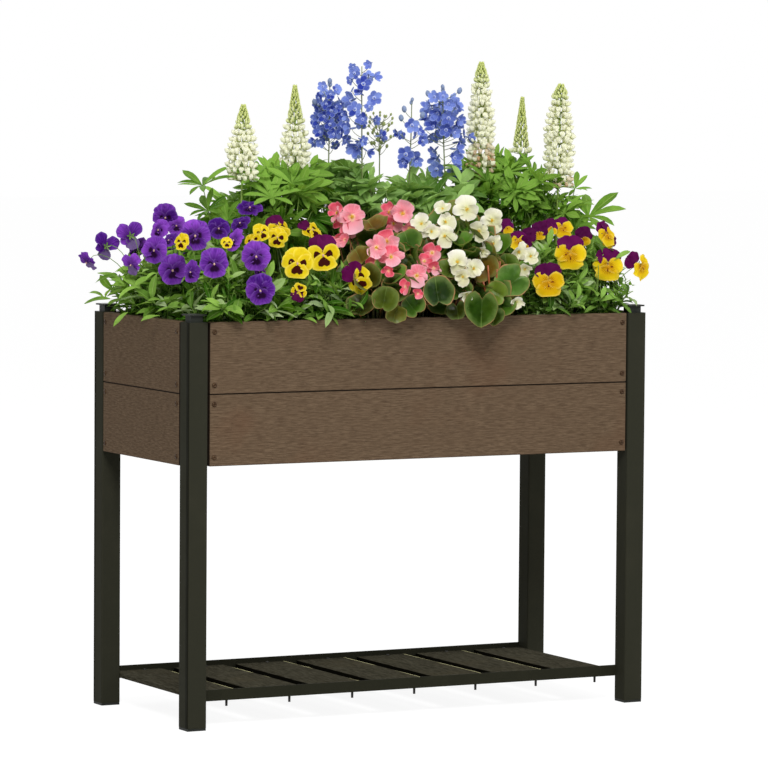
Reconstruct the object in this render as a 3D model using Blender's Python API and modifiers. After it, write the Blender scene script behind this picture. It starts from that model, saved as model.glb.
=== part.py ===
"""Planted raised bed: a box of composite planks on four steel legs, with a slatted
shelf below and lupins, delphiniums, pansies, begonias and violas growing in it.

Metres, +Z up. X runs along the front and Y from the front to the back. The origin
is on the floor, in the middle of the planted bed.
"""

import math

import bmesh
import bpy
from mathutils import Vector

# Driving dimensions
HEIGHT = 0.810  # floor to the top of the legs
LENGTH = 1.044  # over the legs
DEPTH = 0.454  # over the legs
LEG = 0.042  # side of the square tube
TUBE_WALL = 0.002
TUBE_CORNER = 0.003
GAP = 0.0003  # between faces that touch

PLANK_HEIGHT = 0.142
PLANK_THICK = 0.021
PLANK_JOINT = 0.001  # between the upper and the lower plank
PLANK_END_GAP = 0.004  # from a plank's end to the leg
PLANK_EDGE = 0.0015  # rounding of the planks' edges
FLANGE_WIDTH = 0.028  # strip welded on the leg, behind the plank ends
FLANGE_THICK = 0.003

CAP_NECK = 0.026
CAP_PLATE = 0.037
CAP_PLATE_THICK = 0.003
CAP_RISE = 0.016  # top of the plate over the top of the leg
PLUG_DEPTH = 0.015
PLUG_CLEARANCE = 0.0005  # from the plug to the tube wall
FOOT_THICK = 0.005
FOOT_INSET = 0.001  # from the edge of the foot to the face of the leg

ANGLE_THICK = 0.002  # wall of the shelf and floor rails
ANGLE_WIDTH = 0.025
FLOOR_THICK = 0.008
LINER_THICK = 0.001
LINER_TOP = 0.798
SOIL_TOP = 0.785

SHELF_BOTTOM = 0.053
SHELF_RAIL_HEIGHT = 0.0225
SHELF_FRONT = -0.192  # front face of the front rail
SHELF_BACK = 0.224  # back face of the back rail
SLAT_THICK = 0.010
SLAT_PITCH = 0.1422
SLAT_GAP = 0.029
SLATS = 7
SLAT_EDGE = 0.0008  # rounding of the slats' edges

LEAF_WAIST = 0.836  # the plants spread over the rim from here up
CORNER_SOFTNESS = 0.65  # power on a mound's outline: 1 is an ellipse, 0 a rectangle
STEM_RADIUS = 0.0045
STEM_CLEARANCE = 0.0006
STEM_SIDES = 8

BOX_BOTTOM = HEIGHT - 2 * PLANK_HEIGHT - PLANK_JOINT

CORNERS = {
    "front_left": (-1, -1),
    "front_right": (1, -1),
    "back_left": (-1, 1),
    "back_right": (1, 1),
}

# Low plants: foot on the soil and leaf crown, each as left, right, front, back; crown's top
LOW_PLANTS = {
    "pansy_violet_left": ((-0.47, -0.42, -0.08, 0.14), (-0.610, -0.405, -0.100, 0.220), 0.965),
    "pansy_violet_front": ((-0.45, -0.33, -0.19, -0.12), (-0.500, -0.295, -0.290, -0.108), 0.985),
    "pansy_yellow_front": ((-0.27, -0.15, -0.19, -0.08), (-0.289, -0.125, -0.290, -0.065), 0.955),
    "begonia_pink_front": ((-0.10, 0.02, -0.19, -0.08), (-0.119, 0.035, -0.285, -0.065), 1.030),
    "begonia_white_front": ((0.06, 0.23, -0.19, -0.08), (0.041, 0.250, -0.290, -0.065), 1.040),
    "viola_gold_front": ((0.27, 0.38, -0.19, -0.08), (0.256, 0.400, -0.290, -0.065), 0.975),
    "viola_gold_right": ((0.42, 0.47, -0.17, -0.05), (0.406, 0.610, -0.235, -0.032), 0.975),
    "pansy_violet_back": ((-0.38, -0.13, 0.14, 0.19), (-0.399, -0.105, 0.128, 0.290), 0.975),
    "begonia_white_back": ((-0.08, 0.18, 0.14, 0.19), (-0.099, 0.200, 0.128, 0.285), 1.010),
    "viola_gold_back": ((0.22, 0.46, 0.14, 0.19), (0.206, 0.520, 0.128, 0.290), 0.965),
}

# Leaf clumps of the tall plants, in the same columns
TALL_LEAVES = {
    "lupin_leaves_left": ((-0.385, -0.125, -0.050, 0.112), (-0.399, -0.115, -0.059, 0.122), 1.050),
    "delphinium_leaves": ((-0.100, 0.215, -0.050, 0.112), (-0.109, 0.225, -0.059, 0.122), 1.040),
    "lupin_leaves_right": ((0.240, 0.475, -0.018, 0.112), (0.231, 0.610, -0.026, 0.122), 1.045),
}

# Flower spikes: x and y of the foot, x and y of the tip, tip's height, height where the
# flowers begin, radius, number of whorls, share of the length that the budded tip takes
SPIKES = {
    "lupin_spike_1": (-0.302, 0.000, -0.295, 0.000, 1.241, 1.091, 0.030, 8, 0.42),
    "lupin_spike_2": (-0.146, 0.050, -0.154, 0.050, 1.280, 1.110, 0.033, 8, 0.48),
    "lupin_spike_3": (0.283, 0.050, 0.281, 0.050, 1.329, 1.076, 0.031, 13, 0.20),
    "lupin_spike_4": (0.386, 0.080, 0.397, 0.080, 1.256, 1.140, 0.020, 6, 0.90),
    "lupin_spike_5": (0.444, 0.020, 0.456, 0.020, 1.284, 1.062, 0.031, 11, 0.25),
    "delphinium_spike_1": (-0.060, 0.090, -0.053, 0.090, 1.286, 1.146, 0.036, 5, 0.30),
    "delphinium_spike_2": (-0.020, 0.000, -0.026, 0.000, 1.330, 1.116, 0.036, 8, 0.30),
    "delphinium_spike_3": (0.062, 0.090, 0.064, 0.090, 1.218, 1.140, 0.028, 3, 0.60),
    "delphinium_spike_4": (0.090, 0.030, 0.107, 0.030, 1.251, 1.109, 0.034, 5, 0.30),
    "delphinium_spike_5": (0.216, 0.060, 0.195, 0.060, 1.277, 1.078, 0.044, 7, 0.30),
}

# Colour, roughness, metallic
FINISHES = {
    "frame_paint": ((0.030, 0.030, 0.023), 0.50, 0.3),
    "cap_plastic": ((0.022, 0.024, 0.023), 0.55, 0.0),
    "plank_composite": ((0.130, 0.089, 0.058), 0.75, 0.0),
    "slat_composite": ((0.054, 0.048, 0.037), 0.70, 0.0),
    "liner_film": ((0.010, 0.010, 0.010), 0.60, 0.0),
    "soil": ((0.010, 0.007, 0.004), 0.95, 0.0),
    "lupin_leaf": ((0.105, 0.270, 0.035), 0.60, 0.0),
    "lupin_flower": ((0.870, 0.850, 0.680), 0.60, 0.0),
    "delphinium_leaf": ((0.120, 0.250, 0.030), 0.60, 0.0),
    "delphinium_flower": ((0.080, 0.100, 0.600), 0.60, 0.0),
    "pansy_leaf": ((0.080, 0.230, 0.035), 0.60, 0.0),
    "begonia_leaf": ((0.060, 0.160, 0.020), 0.35, 0.0),
    "viola_leaf": ((0.090, 0.240, 0.035), 0.60, 0.0),
}


def clear_scene():
    for item in list(bpy.data.objects):
        bpy.data.objects.remove(item)


def make_collection(name):
    made = bpy.data.collections.new(name)
    bpy.context.scene.collection.children.link(made)
    return made


def make_material(name):
    colour, roughness, metallic = FINISHES[name]
    made = bpy.data.materials.new(name)
    made.use_nodes = True
    shader = made.node_tree.nodes["Principled BSDF"]
    shader.inputs["Base Color"].default_value = (*colour, 1.0)
    shader.inputs["Roughness"].default_value = roughness
    shader.inputs["Metallic"].default_value = metallic
    return made


def place(name, data, finish, collection):
    """Puts mesh or curve data into the scene as a named object with its finish."""
    made = bpy.data.objects.new(name, data)
    if finish:
        data.materials.append(MATERIALS[finish])
    collection.objects.link(made)
    if collection is CUTTERS:
        made.hide_render = True
        made.display_type = "WIRE"
    return made


def block(name, low, high, finish=None, edge=0.0, collection=None):
    """A box between two corners, its edges rounded by edge."""
    bm = bmesh.new()
    bmesh.ops.create_cube(bm, size=1.0)
    low, high = Vector(low), Vector(high)
    for vertex in bm.verts:
        vertex.co = [low[i] + (vertex.co[i] + 0.5) * (high[i] - low[i]) for i in range(3)]
    mesh = bpy.data.meshes.new(name)
    bm.to_mesh(mesh)
    bm.free()
    made = place(name, mesh, finish, collection or BED)
    if edge:
        bevel = made.modifiers.new("Rounded edges", "BEVEL")
        bevel.width = edge
        bevel.segments = 1
    return made


def span(a, b):
    """Two numbers in rising order."""
    return (a, b) if a < b else (b, a)


def signed_block(name, xs, ys, zs, finish=None, edge=0.0, collection=None):
    """A box from pairs of limits that may come in either order."""
    pairs = [span(*xs), span(*ys), span(*zs)]
    return block(name, [p[0] for p in pairs], [p[1] for p in pairs], finish, edge, collection)


def extruded(name, outlines, start, end, finish, along="Z"):
    """Flat outlines, filled between them, drawn out from start to end along Z or X."""
    curve = bpy.data.curves.new(name, "CURVE")
    curve.dimensions = "2D"
    curve.fill_mode = "BOTH"
    curve.extrude = (end - start) / 2
    for outline in outlines:
        spline = curve.splines.new("POLY")
        spline.points.add(len(outline) - 1)
        for point, (u, v) in zip(spline.points, outline):
            point.co = (u, v, 0.0, 1.0)
        spline.use_cyclic_u = True
    made = place(name, curve, finish, BED)
    middle = (start + end) / 2
    if along == "X":
        made.rotation_euler = (math.radians(90), 0.0, math.radians(90))
        made.location = (middle, 0.0, 0.0)
    else:
        made.location = (0.0, 0.0, middle)
    return made


def as_mesh(curve_object):
    """The same solid as a mesh object, its loose caps welded."""
    bpy.context.view_layer.update()
    graph = bpy.context.evaluated_depsgraph_get()
    mesh = bpy.data.meshes.new_from_object(curve_object.evaluated_get(graph))
    bm = bmesh.new()
    bm.from_mesh(mesh)
    bmesh.ops.remove_doubles(bm, verts=bm.verts, dist=1e-6)
    bm.to_mesh(mesh)
    bm.free()
    name = curve_object.name
    matrix = curve_object.matrix_world.copy()
    collection = curve_object.users_collection[0]
    bpy.data.objects.remove(curve_object)
    mesh.name = name
    made = place(name, mesh, None, collection)
    made.matrix_world = matrix
    return made


def combine(target, other, operation):
    step = target.modifiers.new(operation.title(), "BOOLEAN")
    step.operation = operation
    step.object = other
    step.solver = "EXACT"


def rounded_square(side, radius, steps=3):
    """Corner points of a square with quarter-circle corners."""
    half = side / 2 - radius
    points = []
    for corner, (sx, sy) in enumerate(((1, 1), (-1, 1), (-1, -1), (1, -1))):
        for step in range(steps + 1):
            angle = math.radians(90 * (corner + step / steps))
            points.append((sx * half + radius * math.cos(angle), sy * half + radius * math.sin(angle)))
    return points


def moved(points, dx, dy):
    return [(x + dx, y + dy) for x, y in points]


def leg_centre(sx, sy):
    return sx * (LENGTH - LEG) / 2, sy * (DEPTH - LEG) / 2


def leg(corner, sx, sy):
    """A square tube with a screw flange welded behind each of the two planks it holds."""
    x, y = leg_centre(sx, sy)
    outer = moved(rounded_square(LEG, TUBE_CORNER), x, y)
    inner = moved(rounded_square(LEG - 2 * TUBE_WALL, TUBE_CORNER - TUBE_WALL), x, y)
    tube = as_mesh(extruded(f"leg_{corner}", [outer, inner], FOOT_THICK + GAP, HEIGHT, "frame_paint"))
    inner_x = sx * (LENGTH / 2 - LEG)
    inner_y = sy * (DEPTH / 2 - LEG)
    weld = TUBE_WALL / 2
    behind_y = sy * (DEPTH / 2 - PLANK_THICK - GAP)
    behind_x = sx * (LENGTH / 2 - PLANK_THICK - GAP)
    heights = (BOX_BOTTOM, HEIGHT - FLANGE_THICK)
    long_side = signed_block(
        f"flange_long_{corner}",
        (inner_x + sx * weld, inner_x - sx * FLANGE_WIDTH),
        (behind_y, behind_y - sy * FLANGE_THICK),
        heights,
        collection=CUTTERS,
    )
    short_side = signed_block(
        f"flange_short_{corner}",
        (behind_x, behind_x - sx * FLANGE_THICK),
        (inner_y + sy * weld, inner_y - sy * FLANGE_WIDTH),
        heights,
        collection=CUTTERS,
    )
    combine(tube, long_side, "UNION")
    combine(tube, short_side, "UNION")


def square_on_leg(name, sx, sy, side, low, high, finish=None, collection=None):
    x, y = leg_centre(sx, sy)
    half = side / 2
    return block(name, (x - half, y - half, low), (x + half, y + half, high), finish, 0.0, collection)


def leg_cap(corner, sx, sy):
    """A plug in the tube's mouth that carries a narrow neck and a thin square plate."""
    plug_side = LEG - 2 * TUBE_WALL - 2 * PLUG_CLEARANCE
    cap = square_on_leg(f"leg_cap_{corner}", sx, sy, plug_side, HEIGHT - PLUG_DEPTH, HEIGHT, "cap_plastic")
    top = HEIGHT + CAP_RISE
    under_plate = top - CAP_PLATE_THICK
    neck = square_on_leg(
        f"neck_{corner}", sx, sy, CAP_NECK, HEIGHT - PLUG_DEPTH / 2, under_plate + 0.001, collection=CUTTERS
    )
    plate = square_on_leg(f"plate_{corner}", sx, sy, CAP_PLATE, under_plate, top, collection=CUTTERS)
    combine(cap, neck, "UNION")
    combine(cap, plate, "UNION")


def foot_plug(corner, sx, sy):
    """A flat foot under the tube with a plug that goes up into it."""
    foot_side = LEG - 2 * FOOT_INSET
    foot = square_on_leg(f"foot_plug_{corner}", sx, sy, foot_side, 0.0, FOOT_THICK, "cap_plastic")
    plug_side = LEG - 2 * TUBE_WALL - 2 * PLUG_CLEARANCE
    plug = square_on_leg(
        f"plug_{corner}", sx, sy, plug_side, FOOT_THICK / 2, FOOT_THICK + PLUG_DEPTH, collection=CUTTERS
    )
    combine(foot, plug, "UNION")


def planks():
    """Two planks high on each side, between the legs and flush with their outer faces."""
    end_x = LENGTH / 2 - LEG - PLANK_END_GAP
    end_y = DEPTH / 2 - LEG - PLANK_END_GAP
    rows = {
        "upper": (HEIGHT - PLANK_HEIGHT, HEIGHT),
        "lower": (BOX_BOTTOM, BOX_BOTTOM + PLANK_HEIGHT),
    }
    for row, heights in rows.items():
        for side, sy in (("front", -1), ("back", 1)):
            outside = sy * DEPTH / 2
            inside = outside - sy * PLANK_THICK
            signed_block(
                f"plank_{side}_{row}", (-end_x, end_x), (outside, inside), heights, "plank_composite", PLANK_EDGE
            )
        for side, sx in (("left", -1), ("right", 1)):
            outside = sx * LENGTH / 2
            inside = outside - sx * PLANK_THICK
            signed_block(
                f"plank_{side}_{row}", (outside, inside), (-end_y, end_y), heights, "plank_composite", PLANK_EDGE
            )


def box_outline(inset):
    """The box's inside, less inset: a rectangle with its corners cut out round the legs."""
    x_wall = LENGTH / 2 - PLANK_THICK - FLANGE_THICK - 2 * GAP - inset
    y_wall = DEPTH / 2 - PLANK_THICK - FLANGE_THICK - 2 * GAP - inset
    x_leg = LENGTH / 2 - LEG - GAP - inset
    y_leg = DEPTH / 2 - LEG - GAP - inset
    quarter = [(x_wall, y_leg), (x_leg, y_leg), (x_leg, y_wall)]
    points = []
    for sx, sy in ((1, 1), (-1, 1), (-1, -1), (1, -1)):
        corner = [(sx * x, sy * y) for x, y in quarter]
        points += corner if sx * sy > 0 else corner[::-1]
    return points


def angle_section(back_y, inward, bottom, height):
    """An L seen from its end: an upright wall at back_y and a foot that points inward."""
    wall = back_y + inward * ANGLE_THICK
    toe = back_y + inward * ANGLE_WIDTH
    return [
        (back_y, bottom),
        (toe, bottom),
        (toe, bottom + ANGLE_THICK),
        (wall, bottom + ANGLE_THICK),
        (wall, bottom + height),
        (back_y, bottom + height),
    ]


def liner(low):
    """An open bag of film: the box's outline drawn up from its floor, then given its wall."""
    bm = bmesh.new()
    floor = bm.faces.new([bm.verts.new((x, y, low)) for x, y in box_outline(0.0)])
    drawn = bmesh.ops.extrude_edge_only(bm, edges=floor.edges)
    rim = [item for item in drawn["geom"] if isinstance(item, bmesh.types.BMVert)]
    bmesh.ops.translate(bm, verts=rim, vec=(0.0, 0.0, LINER_TOP - low))
    bmesh.ops.recalc_face_normals(bm, faces=bm.faces)
    mesh = bpy.data.meshes.new("liner")
    bm.to_mesh(mesh)
    bm.free()
    made = place("liner", mesh, "liner_film", BED)
    wall = made.modifiers.new("Film wall", "SOLIDIFY")
    wall.thickness = LINER_THICK
    wall.offset = -1.0
    wall.use_even_offset = True


def box_floor():
    """Two angle rails between the flanges, the floor panel on them, the liner and the soil."""
    rail_end = LENGTH / 2 - LEG - FLANGE_WIDTH - GAP
    rail_y = DEPTH / 2 - PLANK_THICK - GAP
    for side, sy in (("front", -1), ("back", 1)):
        section = angle_section(sy * rail_y, -sy, BOX_BOTTOM + GAP, ANGLE_WIDTH)
        extruded(f"floor_rail_{side}", [section], -rail_end, rail_end, "frame_paint", along="X")
    panel_low = BOX_BOTTOM + ANGLE_THICK + 2 * GAP
    panel_high = panel_low + FLOOR_THICK
    extruded("floor_panel", [box_outline(ANGLE_THICK)], panel_low, panel_high, "slat_composite")
    liner_low = panel_high + GAP
    liner(liner_low)
    hollow_low = liner_low + LINER_THICK
    extruded("soil", [box_outline(LINER_THICK + GAP)], hollow_low + GAP, SOIL_TOP, "soil")


def shelf():
    """Angle rails between the legs and seven slats that lie on their feet."""
    rail_end = LENGTH / 2 - LEG - GAP
    for side, y, inward in (("front", SHELF_FRONT, 1), ("back", SHELF_BACK, -1)):
        section = angle_section(y, inward, SHELF_BOTTOM, SHELF_RAIL_HEIGHT)
        extruded(f"shelf_rail_{side}", [section], -rail_end, rail_end, "frame_paint", along="X")
    low = SHELF_BOTTOM + ANGLE_THICK + GAP
    front = SHELF_FRONT + ANGLE_THICK + GAP
    back = SHELF_BACK - ANGLE_THICK - GAP
    half_width = (SLAT_PITCH - SLAT_GAP) / 2
    for number in range(SLATS):
        middle = (number - (SLATS - 1) / 2) * SLAT_PITCH
        left = max(middle - half_width, -rail_end)
        right = min(middle + half_width, rail_end)
        block(
            f"shelf_slat_{number + 1}",
            (left, front, low),
            (right, back, low + SLAT_THICK),
            "slat_composite",
            SLAT_EDGE,
        )


def rounded_box_point(angle, rectangle, spread):
    """The point at this angle round a rectangle with soft corners, spread from its middle."""
    left, right, front, back = rectangle
    across = math.copysign(abs(math.cos(angle)) ** CORNER_SOFTNESS, math.cos(angle))
    deep = math.copysign(abs(math.sin(angle)) ** CORNER_SOFTNESS, math.sin(angle))
    x = (left + right) / 2 + across * spread * (right - left) / 2
    y = (front + back) / 2 + deep * spread * (back - front) / 2
    return x, y


def leaf_crown(name, foot, crown, top, finish, phase):
    """A plant's leaves as one mound: it stands on the soil on its foot, and spreads into
    its crown over the box's rim. A sphere's rings are moved to the mound's levels."""
    rise = top - LEAF_WAIST
    ground = SOIL_TOP + GAP
    levels = [
        (top, crown, 0.0),
        (top - 0.06 * rise, crown, 0.52),
        (top - 0.32 * rise, crown, 0.86),
        (top - 0.66 * rise, crown, 1.0),
        (LEAF_WAIST + 0.04 * rise, crown, 0.93),
        (LEAF_WAIST - 0.006, foot, 1.0),
        (ground, foot, 0.85),
        (ground, foot, 0.0),
    ]
    bm = bmesh.new()
    bmesh.ops.create_uvsphere(bm, u_segments=16, v_segments=len(levels) - 1, radius=1.0)
    for vertex in bm.verts:
        polar = math.acos(max(-1.0, min(1.0, vertex.co.z)))
        ring = round(polar / math.pi * (len(levels) - 1))
        height, rectangle, spread = levels[ring]
        angle = math.atan2(vertex.co.y, vertex.co.x)
        if 0 < ring < 3:
            lump = math.sin(5 * angle + phase + 2 * ring)
            spread *= 1 - 0.06 * (1 + lump)
            height -= 0.05 * rise * (1 + math.sin(3 * angle + 2 * phase))
        vertex.co = (*rounded_box_point(angle, rectangle, spread), height)
    mesh = bpy.data.meshes.new(name)
    bm.to_mesh(mesh)
    bm.free()
    mesh.shade_smooth()
    return place(name, mesh, finish, BED)


def spike_profile(length, bloom_from, radius, whorls, bud_share):
    """Radius and height down a flower spike: budded tip, whorls of flowers, bare stem."""
    points = [(0.0, length), (0.16 * radius, length - 0.004)]
    step = (length - bloom_from) / (whorls + 0.5)
    for whorl in range(whorls):
        share = (whorl + 0.7) / whorls
        reach = radius * min(1.0, 0.30 + 0.70 * share / bud_share)
        height = length - (whorl + 0.7) * step
        points.append((reach, height))
        points.append((0.72 * reach, height - 0.5 * step))
    points.append((STEM_RADIUS, bloom_from))
    points.append((STEM_RADIUS, 0.0))
    points.append((0.0, 0.0))
    return points


def turned(name, profile, finish):
    """The solid that a profile sweeps as it turns once about Z."""
    bm = bmesh.new()
    corners = [bm.verts.new((r, 0.0, z)) for r, z in profile]
    for first, second in zip(corners, corners[1:]):
        bm.edges.new((first, second))
    mesh = bpy.data.meshes.new(name)
    bm.to_mesh(mesh)
    bm.free()
    made = place(name, mesh, finish, BED)
    screw = made.modifiers.new("Turned", "SCREW")
    screw.axis = "Z"
    screw.steps = STEM_SIDES
    screw.render_steps = STEM_SIDES
    screw.use_merge_vertices = True
    screw.merge_threshold = 0.00001
    screw.use_smooth_shade = True
    return made


def flower_spike(name, finish):
    """A flower spike on its stem. It gives the spike's foot, its tilt and its stem's height."""
    foot_x, foot_y, tip_x, tip_y, tip_z, bloom_z, radius, whorls, bud_share = SPIKES[name]
    foot = Vector((foot_x, foot_y, SOIL_TOP + 2 * GAP))
    reach = Vector((tip_x, tip_y, tip_z)) - foot
    bloom_from = reach.length * (bloom_z - foot.z) / (tip_z - foot.z)
    made = turned(name, spike_profile(reach.length, bloom_from, radius, whorls, bud_share), finish)
    tilt = Vector((0.0, 0.0, 1.0)).rotation_difference(reach)
    made.location = foot
    made.rotation_mode = "QUATERNION"
    made.rotation_quaternion = tilt
    return foot, tilt, bloom_from


def stem_hole(name, foot, tilt, height):
    """The way that a stem takes through the leaves, a little wider than the stem."""
    bm = bmesh.new()
    bmesh.ops.create_cone(
        bm,
        cap_ends=True,
        segments=STEM_SIDES,
        radius1=STEM_RADIUS + STEM_CLEARANCE,
        radius2=STEM_RADIUS + STEM_CLEARANCE,
        depth=height + 0.02,
    )
    bmesh.ops.translate(bm, verts=bm.verts, vec=(0.0, 0.0, (height - 0.02) / 2))
    mesh = bpy.data.meshes.new(name)
    bm.to_mesh(mesh)
    bm.free()
    made = place(name, mesh, None, CUTTERS)
    made.location = foot
    made.rotation_mode = "QUATERNION"
    made.rotation_quaternion = tilt
    return made


def plants():
    """The leaf crowns, and the flower spikes whose stems pass through the tall ones."""
    for number, (name, (foot, crown, top)) in enumerate(LOW_PLANTS.items()):
        leaf_crown(name, foot, crown, top, name.split("_")[0] + "_leaf", 1.3 * number)
    tall = {}
    for number, (name, (foot, crown, top)) in enumerate(TALL_LEAVES.items()):
        tall[name] = leaf_crown(name, foot, crown, top, name.split("_")[0] + "_leaf", 0.7 + number)
    for name in SPIKES:
        foot, tilt, bloom_from = flower_spike(name, name.split("_")[0] + "_flower")
        hole = stem_hole(f"hole_{name}", foot, tilt, bloom_from - 0.004)
        for leaves, (_, (left, right, _, _), _) in TALL_LEAVES.items():
            if left < foot.x < right:
                combine(tall[leaves], hole, "DIFFERENCE")


clear_scene()
MATERIALS = {name: make_material(name) for name in FINISHES}
BED = make_collection("planted_raised_bed")
CUTTERS = make_collection("cutters")
for corner_name, signs in CORNERS.items():
    leg(corner_name, *signs)
    leg_cap(corner_name, *signs)
    foot_plug(corner_name, *signs)
planks()
box_floor()
shelf()
plants()
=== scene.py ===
"""Looks of the planted raised bed: composite planks on steel legs, a slatted shelf, and
lupins, delphiniums, pansies, begonias and violas.

Metres, +Z up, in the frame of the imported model. Each new piece is a surface worked out
with numpy: grids of points, many copies at once, gathered in a Skin and made one mesh.
"""

import math

import bpy
import numpy as np
from mathutils import Matrix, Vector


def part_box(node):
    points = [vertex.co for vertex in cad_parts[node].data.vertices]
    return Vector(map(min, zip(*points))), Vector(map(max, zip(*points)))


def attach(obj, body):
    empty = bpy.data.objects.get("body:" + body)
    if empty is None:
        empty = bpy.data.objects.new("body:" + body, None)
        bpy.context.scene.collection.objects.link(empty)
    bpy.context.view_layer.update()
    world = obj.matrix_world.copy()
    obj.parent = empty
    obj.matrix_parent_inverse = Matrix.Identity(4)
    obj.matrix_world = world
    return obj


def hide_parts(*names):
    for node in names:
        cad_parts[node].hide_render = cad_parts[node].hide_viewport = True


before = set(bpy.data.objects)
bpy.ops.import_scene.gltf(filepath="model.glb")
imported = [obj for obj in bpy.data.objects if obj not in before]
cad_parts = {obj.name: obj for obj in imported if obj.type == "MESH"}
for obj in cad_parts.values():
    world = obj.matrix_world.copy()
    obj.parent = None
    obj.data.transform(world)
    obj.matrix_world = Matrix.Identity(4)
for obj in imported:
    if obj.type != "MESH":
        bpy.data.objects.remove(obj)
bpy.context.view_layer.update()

TAU = 2 * math.pi
UP = np.array([0.0, 0.0, 1.0])
GOLDEN = TAU * 0.381966  # turn from one leaf to the next up a stem


# Camera, light and floor


CAMERA_PLACE = (-4.5252, -8.6785, 1.3574)
CAMERA_ANGLES = (27.698, -4.070, 0.418)  # azimuth, elevation and roll, degrees
CAMERA_LENS = 223.27  # mm, on a 36 mm sensor
# Place and aim of each lamp (m), its diameter (m) and power (W)
LAMPS = {
    "key": ((-2.2, -4.6, 4.8), (0.0, 0.0, 0.8), 2.2, 300.0),
    "fill": ((4.2, -3.0, 2.6), (0.0, 0.0, 0.8), 3.0, 60.0),
    "back": ((1.0, 4.5, 4.0), (0.0, 0.0, 0.9), 3.0, 90.0),
}
AMBIENT = 0.45  # strength of the light from all round; seen directly it is 1
FLOOR_REACH = 30.0
FLOOR_GLOW, FLOOR_GLOW_SHARE = 1.17, 0.78


def unit(vectors):
    return vectors / np.linalg.norm(vectors, axis=-1, keepdims=True)


def new_object(name, data):
    made = bpy.data.objects.new(name, data)
    bpy.context.scene.collection.objects.link(made)
    return made


def aim(made, place, right, upward, ahead):
    """Puts a camera or a lamp at a place, looking ahead."""
    matrix = np.eye(4)
    matrix[:3, :3] = np.stack([right, upward, -ahead], 1)
    matrix[:3, 3] = place
    made.matrix_world = Matrix(matrix.tolist())


def camera():
    """A long lens in front and to the left of the bed, a little above its flowers."""
    azimuth, elevation, roll = (math.radians(angle) for angle in CAMERA_ANGLES)
    flat = math.cos(elevation)
    ahead = np.array([math.sin(azimuth) * flat, math.cos(azimuth) * flat, math.sin(elevation)])
    level = unit(np.cross(ahead, UP))
    upright = np.cross(level, ahead)
    data = bpy.data.cameras.new("camera")
    data.lens, data.sensor_width, data.clip_end = CAMERA_LENS, 36.0, 100.0
    made = new_object("camera", data)
    right = math.cos(roll) * level + math.sin(roll) * upright
    aim(made, CAMERA_PLACE, right, math.cos(roll) * upright - math.sin(roll) * level, ahead)
    bpy.context.scene.camera = made


def studio():
    """White surroundings, one large soft lamp from the front left and two weaker ones."""
    world = bpy.data.worlds.new("studio")
    bpy.context.scene.world = world
    world.use_nodes = True
    tree = Nodes(world.node_tree)
    background = world.node_tree.nodes["Background"]
    tree.put((1.0, 1.0, 1.0), background.inputs["Color"])
    tree.put(tree.seen() * (1.0 - AMBIENT) + AMBIENT, background.inputs["Strength"])
    for name, (place, target, size, power) in LAMPS.items():
        data = bpy.data.lights.new(name, "AREA")
        data.shape, data.size, data.energy = "DISK", size, power
        ahead = unit(np.array(target) - np.array(place))
        side = unit(np.cross(ahead, UP))
        aim(new_object(name, data), place, side, np.cross(side, ahead), ahead)


def floor():
    """A wide white floor that keeps a faint shadow."""
    mesh = bpy.data.meshes.new("floor")
    corners = ((-1, -1), (1, -1), (1, 1), (-1, 1))
    points = [(x * FLOOR_REACH, y * FLOOR_REACH, 0.0) for x, y in corners]
    mesh.from_pydata(points, [], [(0, 1, 2, 3)])
    made = new_object("floor", mesh)
    tree = Finish("floor_white", 0.9, specular=0.0)
    tree.put((0.8, 0.8, 0.8), tree.shader.inputs["Base Color"])
    tree.cover(tree.seen() * FLOOR_GLOW_SHARE, tree.add("Emission", Strength=FLOOR_GLOW))
    mesh.materials.append(tree.material)


# Materials


def tone(red, green, blue):
    """Linear colour from the 0 to 255 values of a colour chart."""
    chart = np.array([red, green, blue]) / 255
    return tuple(np.where(chart <= 0.04045, chart / 12.92, ((chart + 0.055) / 1.055) ** 2.4))


class Value:
    """An output in a tree of nodes, with which sums can be written."""

    def __init__(self, tree, socket):
        self.tree, self.socket = tree, socket

    def __add__(self, other):
        return self.tree.maths("ADD", self, other)

    def __sub__(self, other):
        return self.tree.maths("SUBTRACT", self, other)

    def __rsub__(self, other):
        return self.tree.maths("SUBTRACT", other, self)

    def __mul__(self, other):
        return self.tree.maths("MULTIPLY", self, other)

    def __truediv__(self, other):
        return self.tree.maths("DIVIDE", self, other)

    def __pow__(self, other):
        return self.tree.maths("POWER", self, other)

    def __abs__(self):
        return self.tree.maths("ABSOLUTE", self)


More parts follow.
